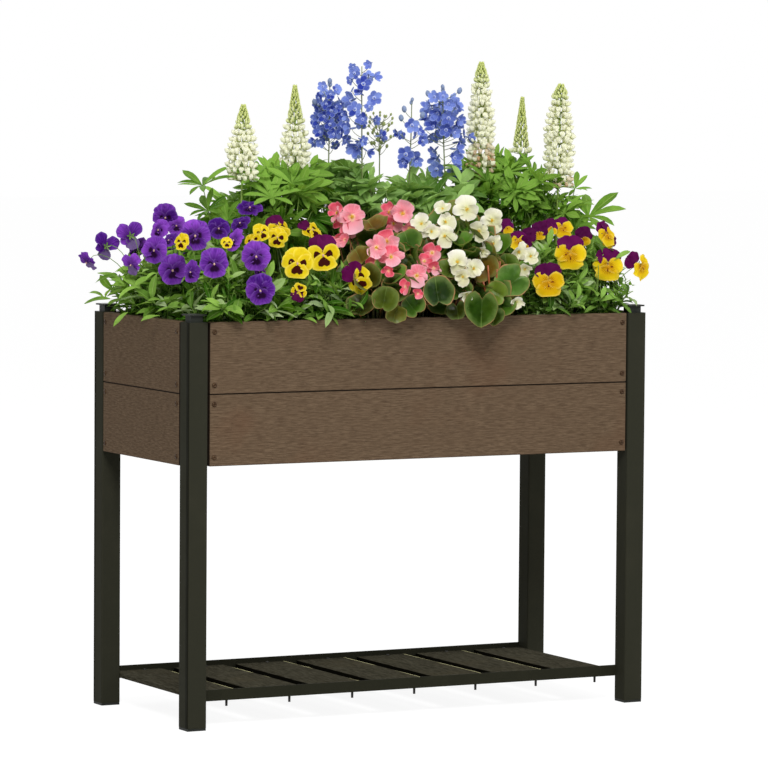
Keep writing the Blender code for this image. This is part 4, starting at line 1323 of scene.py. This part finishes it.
# Florets: right of and above the spike's tip as seen from the front left (mm), size (mm),
# shade
DELPHINIUM_FLORETS = {
    "delphinium_spike_1": (
        (-14, -14, 22, 0.7), (14, -20, 22, 0.6), (-22, -38, 25, 0.35), (2, -30, 22, 0.5),
        (26, -46, 24, 0.45), (-20, -62, 26, 0.3), (4, -64, 26, 0.35), (26, -72, 26, 0.3),
        (-22, -86, 26, 0.35), (2, -92, 27, 0.3), (24, -98, 26, 0.35), (-18, -108, 25, 0.3),
        (10, -112, 24, 0.3), (-16, -130, 22, 0.4), (34, -122, 24, 0.4), (36, -84, 20, 0.4),
        (-28, -48, 18, 0.5), (-6, -50, 24, 0.3), (14, -56, 24, 0.4), (-10, -76, 25, 0.3),
        (0, -4, 16, 0.8),
    ),
    "delphinium_spike_2": (
        (16, -12, 20, 0.8), (-18, -18, 20, 0.8), (-15, -30, 26, 0.6), (3, -52, 34, 0.3),
        (27, -38, 22, 0.7), (-23, -70, 22, 0.6), (25, -80, 32, 0.6), (-14, -104, 34, 0.45),
        (2, -124, 28, 0.5), (-26, -144, 28, 0.5), (-44, -152, 28, 0.35), (-12, -182, 34, 0.5),
        (16, -98, 24, 0.6), (-4, -70, 24, 0.4), (-30, -120, 22, 0.5), (-34, -168, 26, 0.45),
        (12, -190, 22, 0.5), (-22, -186, 26, 0.4), (2, -168, 24, 0.5),
    ),
    "delphinium_spike_3": (
        (-28, -6, 9, 0.9), (-14, -2, 8, 0.9), (0, 0, 8, 0.9), (10, -8, 9, 0.8), (22, -4, 8, 0.9),
        (-20, -20, 10, 0.8), (-6, -18, 10, 0.9), (8, -24, 11, 0.8), (24, -22, 9, 0.8),
        (-12, -36, 11, 0.8), (4, -40, 12, 0.7), (16, -36, 10, 0.9), (-24, -44, 10, 0.8),
        (-4, -56, 12, 0.8), (12, -58, 11, 0.8), (-16, -64, 11, 0.8), (28, -48, 9, 0.8),
        (2, -72, 10, 0.8),
    ),
    "delphinium_spike_4": (
        (0, -6, 12, 0.95), (-14, -26, 18, 0.95), (22, -38, 18, 0.9), (2, -58, 32, 0.5),
        (-28, -74, 20, 0.5), (26, -90, 24, 0.4), (-8, -118, 36, 0.45), (14, -132, 24, 0.5),
        (20, -72, 20, 0.4), (-12, -136, 24, 0.4),
    ),
    "delphinium_spike_5": (
        (0, -6, 14, 0.9), (-18, -26, 28, 0.75), (10, -40, 28, 0.7), (32, -14, 18, 0.9),
        (-30, -44, 24, 0.6), (28, -44, 32, 0.6), (-12, -60, 32, 0.6), (10, -70, 34, 0.5),
        (-34, -70, 26, 0.4), (30, -72, 28, 0.6), (-22, -88, 30, 0.5), (4, -94, 30, 0.4),
        (-44, -96, 28, 0.4), (-58, -104, 24, 0.4), (-36, -112, 28, 0.4), (22, -100, 26, 0.6),
        (26, -134, 28, 0.6), (20, -152, 32, 0.6), (-18, -176, 36, 0.55), (24, -170, 22, 0.6),
        (0, -24, 24, 0.8),
    ),
}
GREEN_BUDS = {"delphinium_spike_3": 1.0}
THIN_SPIKES = ("delphinium_spike_2", "delphinium_spike_4")
SEEN_FROM = math.radians(27.7)  # the azimuth of those places
BUD_SIZE = 0.0175  # florets up to this size are buds


def palmate(rng, skin, base, pose, radius, leaflets, width, shade, widest, teeth):
    """Hand-shaped leaves: leaflets all round the stalk's end, raised like a shallow cup, the
    ones over the stalk smaller."""
    count = len(base)
    for number in range(leaflets):
        angle = TAU * (number + 0.5) / leaflets + rng.normal(0, 0.08, count)
        grown = radius * (0.80 + 0.20 * np.cos(angle)) * rng.uniform(0.88, 1.06, count)
        lift = 0.40 + rng.normal(0, 0.14, count)
        along = values(np.sin(angle) * np.cos(lift), np.cos(angle) * np.cos(lift), np.sin(lift))
        upper = values(-np.sin(angle) * np.sin(lift), -np.cos(angle) * np.sin(lift), np.cos(lift))
        along, upper = (np.einsum("kij,kj->ki", pose, way) for way in (along, upper))
        droop, fold = 0.45 + rng.normal(0, 0.2, count), rng.uniform(0.15, 0.55, count)
        blades(skin, base, growing(along, upper), grown, grown * width, droop, fold,
               varied(rng, shade, 0.12), 0.0, widest, 0.75, columns=2, ripple=0.02, teeth=teeth)


def tall_leaves(node, material, stem, slot):
    """The hand-shaped leaves of a tall plant: the placed ones, then others through its clump
    up to the height that FOLIAGE_TOP gives there, less in front, facing up and outwards on
    stalks that rise from the soil."""
    seed, count, radius, leaflets, width, widest, teeth = TALL_LEAVES[node]
    rng = np.random.default_rng(seed)
    low, high = box(node)
    middle, half = (low + high) / 2, (high - low) / 2
    out, soft = soft_square(rng.uniform(0, TAU, count))
    far = np.sqrt(rng.uniform(0, 1, count))
    points = middle + half * soft * far[:, None] * np.array([0.96, 1.0, 0.0])
    rise = np.interp(points[:, 0], *np.array(FOLIAGE_TOP).T) - RIM - 0.012
    rise = rise - 0.040 * np.clip((middle[1] - points[:, 1]) / half[1], 0, 1)
    level = rng.random(count) ** np.where(rng.random(count) < 0.45, 1.0, 0.35)
    points[:, 2] = RIM + rise * (0.12 + 0.88 * level)
    points, out, far, rise = picked(points[:, 0] < REACH_RIGHT, points, out, far, rise)
    shape, count = points.shape, len(points)
    lean = out * (0.2 + 0.5 * far[:, None]) + UP * 0.70 + np.array([-0.12, -0.24, 0.0])
    lean = unit(lean + rng.normal(0, 0.32, shape))
    size = radius * rng.uniform(0.70, 1.15, count)
    # Painted shade and light: leaves low in the clump are darker, the top ones lighter
    shade = varied(rng, 0.02 + 0.70 * ((points[:, 2] - RIM) / rise) ** 1.5, 0.25)
    pose = growing(out + rng.normal(0, 0.3, shape), lean)
    if node in PLACED_LEAVES:
        base, sizes, turn, tip, roll, shades = heads(node, PLACED_LEAVES[node])
        points, size, shade, pose = joined(
            (base, points), (sizes, size), (shades, shade), (facing(turn, tip, roll), pose))
    leaves, stalks = Skin(), Skin()
    palmate(rng, leaves, points, pose, size, leaflets, width, shade, widest, teeth)
    flower_stems(rng, stalks, node, points + pose[:, :, 2] * 0.004, pose, 0.0015, 0.25, 0.6)
    leaves.piece(f"{node}_blades", material, slot, node)
    stalks.piece(f"{node}_stalks", stem, slot)


def spike_axis(node):
    """A spike's foot and tip: the middles of its lowest and highest points."""
    points = np.array([v.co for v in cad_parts[node].data.vertices])
    low, high = box(node)
    foot = points[points[:, 2] < low[2] + 0.01].mean(0)
    tip = points[points[:, 2] > high[2] - 0.006].mean(0)
    return np.array([foot[0], foot[1], low[2]]), np.array([tip[0], tip[1], high[2]])


def rings(rng, start, end, spacing, per_ring, tip, axis):
    """Places round a spike in rings from start to end below its tip, each ring turned on by
    the golden angle: how far down, the ring's middle and the way out."""
    side = unit(np.cross(axis, np.array([0.0, 1.0, 0.0])))
    levels = max(1, round((end - start) / spacing))
    down = np.repeat(start + (np.arange(levels) + 0.5) * (end - start) / levels, per_ring)
    turn = TAU * np.tile(np.arange(per_ring), levels) / per_ring
    turn = turn + GOLDEN * np.repeat(np.arange(levels), per_ring) + rng.normal(0, 0.12, len(down))
    down = down + rng.normal(0, spacing * 0.08, len(down))
    spoke = np.cos(turn)[:, None] * side + np.sin(turn)[:, None] * np.cross(axis, side)
    return down, tip - axis * down[:, None], spoke


def lupin_spike(rng, node, petal, stem):
    """A cone of green buds over whorls of pea flowers round one stem."""
    length, width, bud, spent = LUPIN_SPIKES[node]
    foot, tip = spike_axis(node)
    axis = unit(tip - foot)
    flowers, stalk = Skin(), Skin()
    # The buds lie close against the stem
    down, middle, spoke = rings(rng, 0.004, length * bud, 0.0050, 7, tip, axis)
    share = down / (length * bud)
    close = 0.0012 + (width * 0.13) * share
    grown = 0.0080 + 0.0040 * share
    pose = growing(unit(axis + spoke * (0.18 + 0.45 * share[:, None])), spoke)
    eggs(flowers, middle + spoke * close[:, None] - axis * 0.006, pose, grown, grown * 0.46,
         grown * 0.46, 0.2 + 0.3 * rng.random(len(down)), 0.35 * share ** 3, 0.7, 5, 6)
    # Each open flower has wings with an upright banner behind, on a short stalk
    down, middle, spoke = rings(rng, length * bud, length, 0.0128, 12, tip, axis)
    count = len(down)
    opened = np.clip((down / length - bud) / 0.34, 0, 1) ** 0.8
    old = np.clip((down / length - (1 - spent)) / 0.16, 0, 1) if spent else 0 * down
    old = old * (rng.random(count) > 0.35)
    reach = width / 2 * (0.46 + 0.54 * opened) * rng.uniform(0.84, 1.10, count)
    grown = (0.0115 + 0.0055 * opened) * (1 - 0.30 * old) * rng.uniform(0.85, 1.12, count)
    rise = np.radians(56 - 32 * opened - 14 * old + rng.normal(0, 11, count))
    along = spoke * np.cos(rise)[:, None] + axis * np.sin(rise)[:, None]
    start = middle + spoke * (reach - grown * np.cos(rise) * 0.92)[:, None] - axis * 0.004
    kind = np.clip(opened * 2.6 + rng.normal(0, 0.06, count), 0, 1)
    tint = np.clip(0.15 + 0.15 * rng.random(count) + old * rng.uniform(0.4, 0.9, count), 0, 1)
    pose = growing(along, axis + 0 * spoke)
    eggs(flowers, start, pose, grown, grown * 0.48, grown * 0.62, tint, kind, 0.70)
    standing = unit(axis + spoke * (0.10 + rng.normal(0, 0.12, (count, 1))))
    blades(flowers, start + along * grown[:, None] * 0.25, growing(standing, -spoke), grown * 0.72,
           grown * 0.74 * (0.5 + 0.5 * opened), -0.7, -0.45, tint, kind, 0.60, 0.55, 4, 4)
    path = bends(middle - axis * 0.008, middle + spoke * 0.004 - axis * 0.006,
                 start - along * 0.002, start + along * 0.002, 4)
    tubes(flowers, path, 0.0008, 0.1, around=4)
    ends = foot, foot + axis * 0.1, tip - axis * 0.1, tip - axis * 0.006
    tubes(stalk, bends(*(end[None] for end in ends), 14), 0.0034, 0.6, 0.0, 8, 0.30)
    flowers.piece(f"{node}_flowers", petal, "lupin_flower", node)
    stalk.piece(f"{node}_stem", stem, "lupin_leaf")


def delphinium_spike(rng, node, petal, stem):
    """Five-petalled florets with a spur, and egg-shaped buds, on thin stalks round one stem."""
    right = np.array([math.cos(SEEN_FROM), -math.sin(SEEN_FROM), 0.0])
    toward = np.array([-math.sin(SEEN_FROM), -math.cos(SEEN_FROM), 0.0])
    foot, tip = spike_axis(node)
    table = np.array(DELPHINIUM_FLORETS[node], float)
    shown = len(table)
    # The same flowers again, mirrored, make the far side; the thin spikes get half of them
    again = table[::2] if node in THIN_SPIKES else table
    mirrored = again * np.array([-0.9, 1.0, 1.0, 1.0]) + np.array([0, -7, 0, 0])
    across, down, size, shade = np.concatenate([table, mirrored]).T
    across, down, size = across / 1000, down / 1000, 0.92 * size / 1000
    count = len(size)
    near = np.where(np.arange(count) < shown, 1.0, -1.0)
    deep = np.sqrt(np.maximum(0.034 ** 2 - across ** 2, 0.010 ** 2)) * near
    axis_point = tip + (tip - foot) * (down / (tip - foot)[2])[:, None]
    base = axis_point + across[:, None] * right + deep[:, None] * toward
    out = unit(base - axis_point + toward * 0.006 * near[:, None])
    normal = out + UP * rng.normal(-0.05, 0.22, count)[:, None]
    normal = unit(normal + rng.normal(0, 0.25, out.shape))
    side = growing(UP + rng.normal(0, 0.25, normal.shape), normal)[:, :, 0]
    pose = np.stack([side, np.cross(normal, side), normal], -1)
    outward, upright = pose[:, :, 2], pose[:, :, 1]
    flowers, stalk = Skin(), Skin()
    full = size > BUD_SIZE
    wide, place, upper = size[full], base[full], upright[full]
    many = len(wide)
    bell = rng.normal(0.9, 0.5, many)
    for number in range(5):
        petal_row = (72 * number, 0.28, 0.25, 0.28, 0.014 * (number % 2), 0.1, 0.0)
        shades = varied(rng, shade[full], 0.16)
        rng.random(many)  # nothing uses this draw, but the ones after it depend on it
        discs(flowers, place, pose[full], wide, petal_row, shades, 0.0, bell, 0.0, 0.04, 3, 0.03,
              mark=(0.13, 0.13), around=10)
    eye = growing(outward[full], upper)
    eggs(flowers, place - outward[full] * wide[:, None] * 0.04, eye,
         wide * 0.22, wide * 0.18, wide * 0.18, 0.9, 0.0, 0.7, 4, 6, along=0.0)
    spur = growing(unit(-outward + UP * 0.25), upright)[full]
    eggs(flowers, place, spur, wide * 0.75, wide * 0.17, wide * 0.17, 0.6, 0.2, 0.5, 5, 6,
         along=0.0)
    buds = ~full
    small = size[buds]
    bud = growing(unit(UP + outward[buds] * 0.4), outward[buds])
    eggs(flowers, base[buds] - UP * small[:, None] * 0.4, bud, small, small * 0.66, small * 0.62,
         shade[buds], GREEN_BUDS.get(node, 0.35), 0.6, 6, 8, along=0.0)
    join = axis_point - UP * 0.018
    back = base - outward * (0.25 * size * full)[:, None]
    path = bends(join, join + out * 0.010 + UP * 0.002, back - UP * 0.008 - out * 0.004, back, 6)
    tubes(stalk, path, 0.0008, 0.5, 0.15)
    top = tip - (tip - foot) * 0.03
    ends = foot, foot + UP * 0.15, top - UP * 0.15, top
    tubes(stalk, bends(*(end[None] for end in ends), 14), 0.0024, 0.5, 0.0, 7, 0.40)
    flowers.piece(f"{node}_florets", petal, "delphinium_flower", node)
    stalk.piece(f"{node}_stem", stem, "delphinium_leaf")


def tall_plants():
    leaf = leaf_material(
        "lupin_leaf", (42, 92, 4), (140, 184, 76), (150, 180, 110), (172, 198, 106), veins=7.0)
    stem = stem_material("lupin_leaf_stalk", (80, 116, 34), (130, 160, 62), (110, 90, 60))
    tall_leaves("lupin_leaves_left", leaf, stem, "lupin_leaf")
    tall_leaves("lupin_leaves_right", leaf, stem, "lupin_leaf")
    leaf = leaf_material(
        "delphinium_leaf", (46, 92, 10), (166, 204, 116), (156, 184, 134), (165, 190, 125),
        veins=5.0)
    stem = stem_material("delphinium_leaf_stalk", (80, 112, 40), (130, 156, 74), (110, 90, 60))
    tall_leaves("delphinium_leaves", leaf, stem, "delphinium_leaf")
    petal = lupin_flower_material()
    stem = stem_material("lupin_stem", (110, 140, 50), (150, 175, 80), (120, 90, 60))
    for number, node in enumerate(LUPIN_SPIKES):
        lupin_spike(np.random.default_rng(121 + number), node, petal, stem)
    petal = petal_material(
        "delphinium_flower",
        (46, 62, 160), (138, 158, 230), (180, 192, 124), (226, 232, 244), (166, 182, 230),
        softness=0.12, rays=0.7)
    stem = stem_material("delphinium_stem", (86, 104, 46), (130, 144, 84), (110, 90, 110))
    for number, node in enumerate(DELPHINIUM_FLORETS):
        delphinium_spike(np.random.default_rng(141 + number), node, petal, stem)


# Soil and screws


def soil_crumbs():
    """Lumpy ground: a grid over the soil raised by several waves of random direction."""
    rng = np.random.default_rng(7)
    rows, columns = 110, 250
    x = np.linspace(SOIL_LOW[0] + 0.03, SOIL_HIGH[0] - 0.03, columns)[None, None, :]
    y = np.linspace(SOIL_LOW[1] + 0.012, SOIL_HIGH[1] - 0.012, rows)[None, :, None]
    z = np.zeros((1, rows, columns))
    for scale, height, waves in ((60, 0.0022, 8), (240, 0.0012, 12), (620, 0.0008, 12)):
        for _ in range(waves):
            direction = rng.uniform(0, TAU)
            run = x * math.cos(direction) + y * math.sin(direction)
            wave = np.sin(scale * rng.uniform(0.7, 1.3) * run + rng.uniform(0, TAU))
            z = z + height / math.sqrt(waves) * wave
    edge = np.minimum(np.minimum(x - x.min(), x.max() - x), np.minimum(y - y.min(), y.max() - y))
    z = SOIL_HIGH[2] - 0.001 + (0.005 + np.maximum(z, -0.004)) * np.clip(edge / 0.02, 0, 1)
    skin = Skin()
    skin.add(values(x, y, z), np.zeros(2), np.zeros(4))
    skin.piece("soil_crumbs", SOIL, "soil")


# A screw head from its dished recess out to its edge: share of the radius, of the height
SCREW_PROFILE = np.array([
    (0.0, 0.20), (0.30, 0.20), (0.38, 0.98), (0.62, 0.92), (0.88, 0.66), (1.0, 0.30), (1.0, 0.0),
    (0.0, 0.0),
])


def pan_heads(skin, base, outward, radius, height):
    """Screw heads: the profile turned about each screw's axis."""
    turn = -round_columns(16)
    r, h = radius * SCREW_PROFILE[None, :, 0, None], height * SCREW_PROFILE[None, :, 1, None]
    local = values(r * np.cos(turn), h, -r * np.sin(turn))
    pose = growing(outward, np.array([0.3, 0.2, 0.93]) + 0 * outward)
    local = np.broadcast_to(local, (len(base), *local.shape[1:]))
    skin.add(posed(base, pose, local), values(r, h), np.zeros(4), poles=2)


def screws():
    """Two screws at each end of each plank, and one at each end of each slat, whose tip and
    washer show below the rail."""
    bronze = coated_material("screw_bronze", (60, 42, 26), (116, 92, 66), 0.42, 900.0, 0.5, 0.2)
    steel = coated_material("screw_steel", (34, 32, 30), (60, 56, 50), 0.45, 900.0, 0.5)
    base, outward = [], []
    sides = (("front", 1, -1), ("back", 1, 1), ("left", 0, -1), ("right", 0, 1))
    for row in ("upper", "lower"):
        for side, axis, sign in sides:
            low, high = box(f"plank_{side}_{row}")
            along = 1 - axis
            direction, face = np.zeros(3), (low if sign < 0 else high)[axis]
            direction[axis] = sign
            for end in (low[along] + 0.010, high[along] - 0.010):
                for height in (low[2] + 0.0175, high[2] - 0.0195):
                    point = np.zeros(3)
                    point[axis], point[along], point[2] = face, end, height
                    base.append(point - direction * 0.0004)
                    outward.append(direction)
    skin = Skin()
    pan_heads(skin, np.array(base), np.array(outward), 0.0052, 0.0030)
    skin.piece("plank_screws", bronze, "screw_bronze")
    front, back = box("shelf_rail_front"), box("shelf_rail_back")
    slats = [box(f"shelf_slat_{number + 1}") for number in range(7)]
    tops = np.array([
        ((low[0] + high[0]) / 2 + 0.014, y, high[2] - 0.0003)
        for low, high in slats for y in (front[0][1] + 0.018, back[1][1] - 0.010)])
    skin = Skin()
    pan_heads(skin, tops, np.broadcast_to(UP, tops.shape), 0.0042, 0.0022)
    stubs = tops.copy()
    stubs[:, 2] = front[0][2] + 0.004
    ends = stubs - UP * 0.018
    path = bends(stubs, stubs - UP * 0.006, ends + UP * 0.006, ends, 5)
    tubes(skin, path, 0.0027, 0.5, 0.0, 8, 0.9)
    washers = [stubs - UP * 0.0042 - UP * drop for drop in (0.0, 0.0004, 0.0008, 0.0012)]
    tubes(skin, bends(*washers, 2), 0.0062, 0.5, 0.0, 10, 1.0)
    skin.piece("slat_screws", steel, "screw_steel")


# Finishes of the frame's own pieces


def dress(material, *starts):
    """Gives the material to the nodes whose names start so, in place of what they have."""
    for name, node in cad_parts.items():
        if name.startswith(starts):
            node.data.materials.clear()
            node.data.materials.append(material)


def hardware():
    dress(coated_material("frame_paint", (45, 45, 36), (52, 51, 41), 0.60, 700.0, specular=0.02,
                          corner_shadow=(16, 16, 10)), "leg_")
    dress(coated_material("cap_plastic", (38, 40, 36), (54, 56, 50), 0.50, 600.0, specular=0.12),
          "leg_cap_", "foot_plug_")
    dress(coated_material("rail_paint", (38, 38, 29), (46, 45, 35), 0.60, 700.0, specular=0.02),
          "shelf_rail_", "floor_rail_")
    dress(coated_material("liner_film", (24, 24, 24), (36, 36, 36), 0.5, 300.0), "liner")
    dress(plank_material(), "plank_")
    dress(slat_material(), "shelf_slat_", "floor_panel")
    dress(SOIL, "soil")


def add_back_heads():
    """The flowers of the three plants along the back."""
    for title, node, seed, count, size in (
        ("violet_heads", "pansy_violet_back", 61, 14, 0.060),
        ("golden_heads", "viola_gold_back", 85, 14, 0.056),
        ("begonia_heads", "begonia_white_back", 97, 16, 0.050),
    ):
        HEADS[title][node] = scattered_heads(seed, node, count, size)


SOIL = soil_material()
camera()
studio()
floor()
hardware()
screws()
soil_crumbs()
add_back_heads()
pansies_and_violas()
begonias()
tall_plants()
bpy.context.scene.view_settings.view_transform = "Standard"
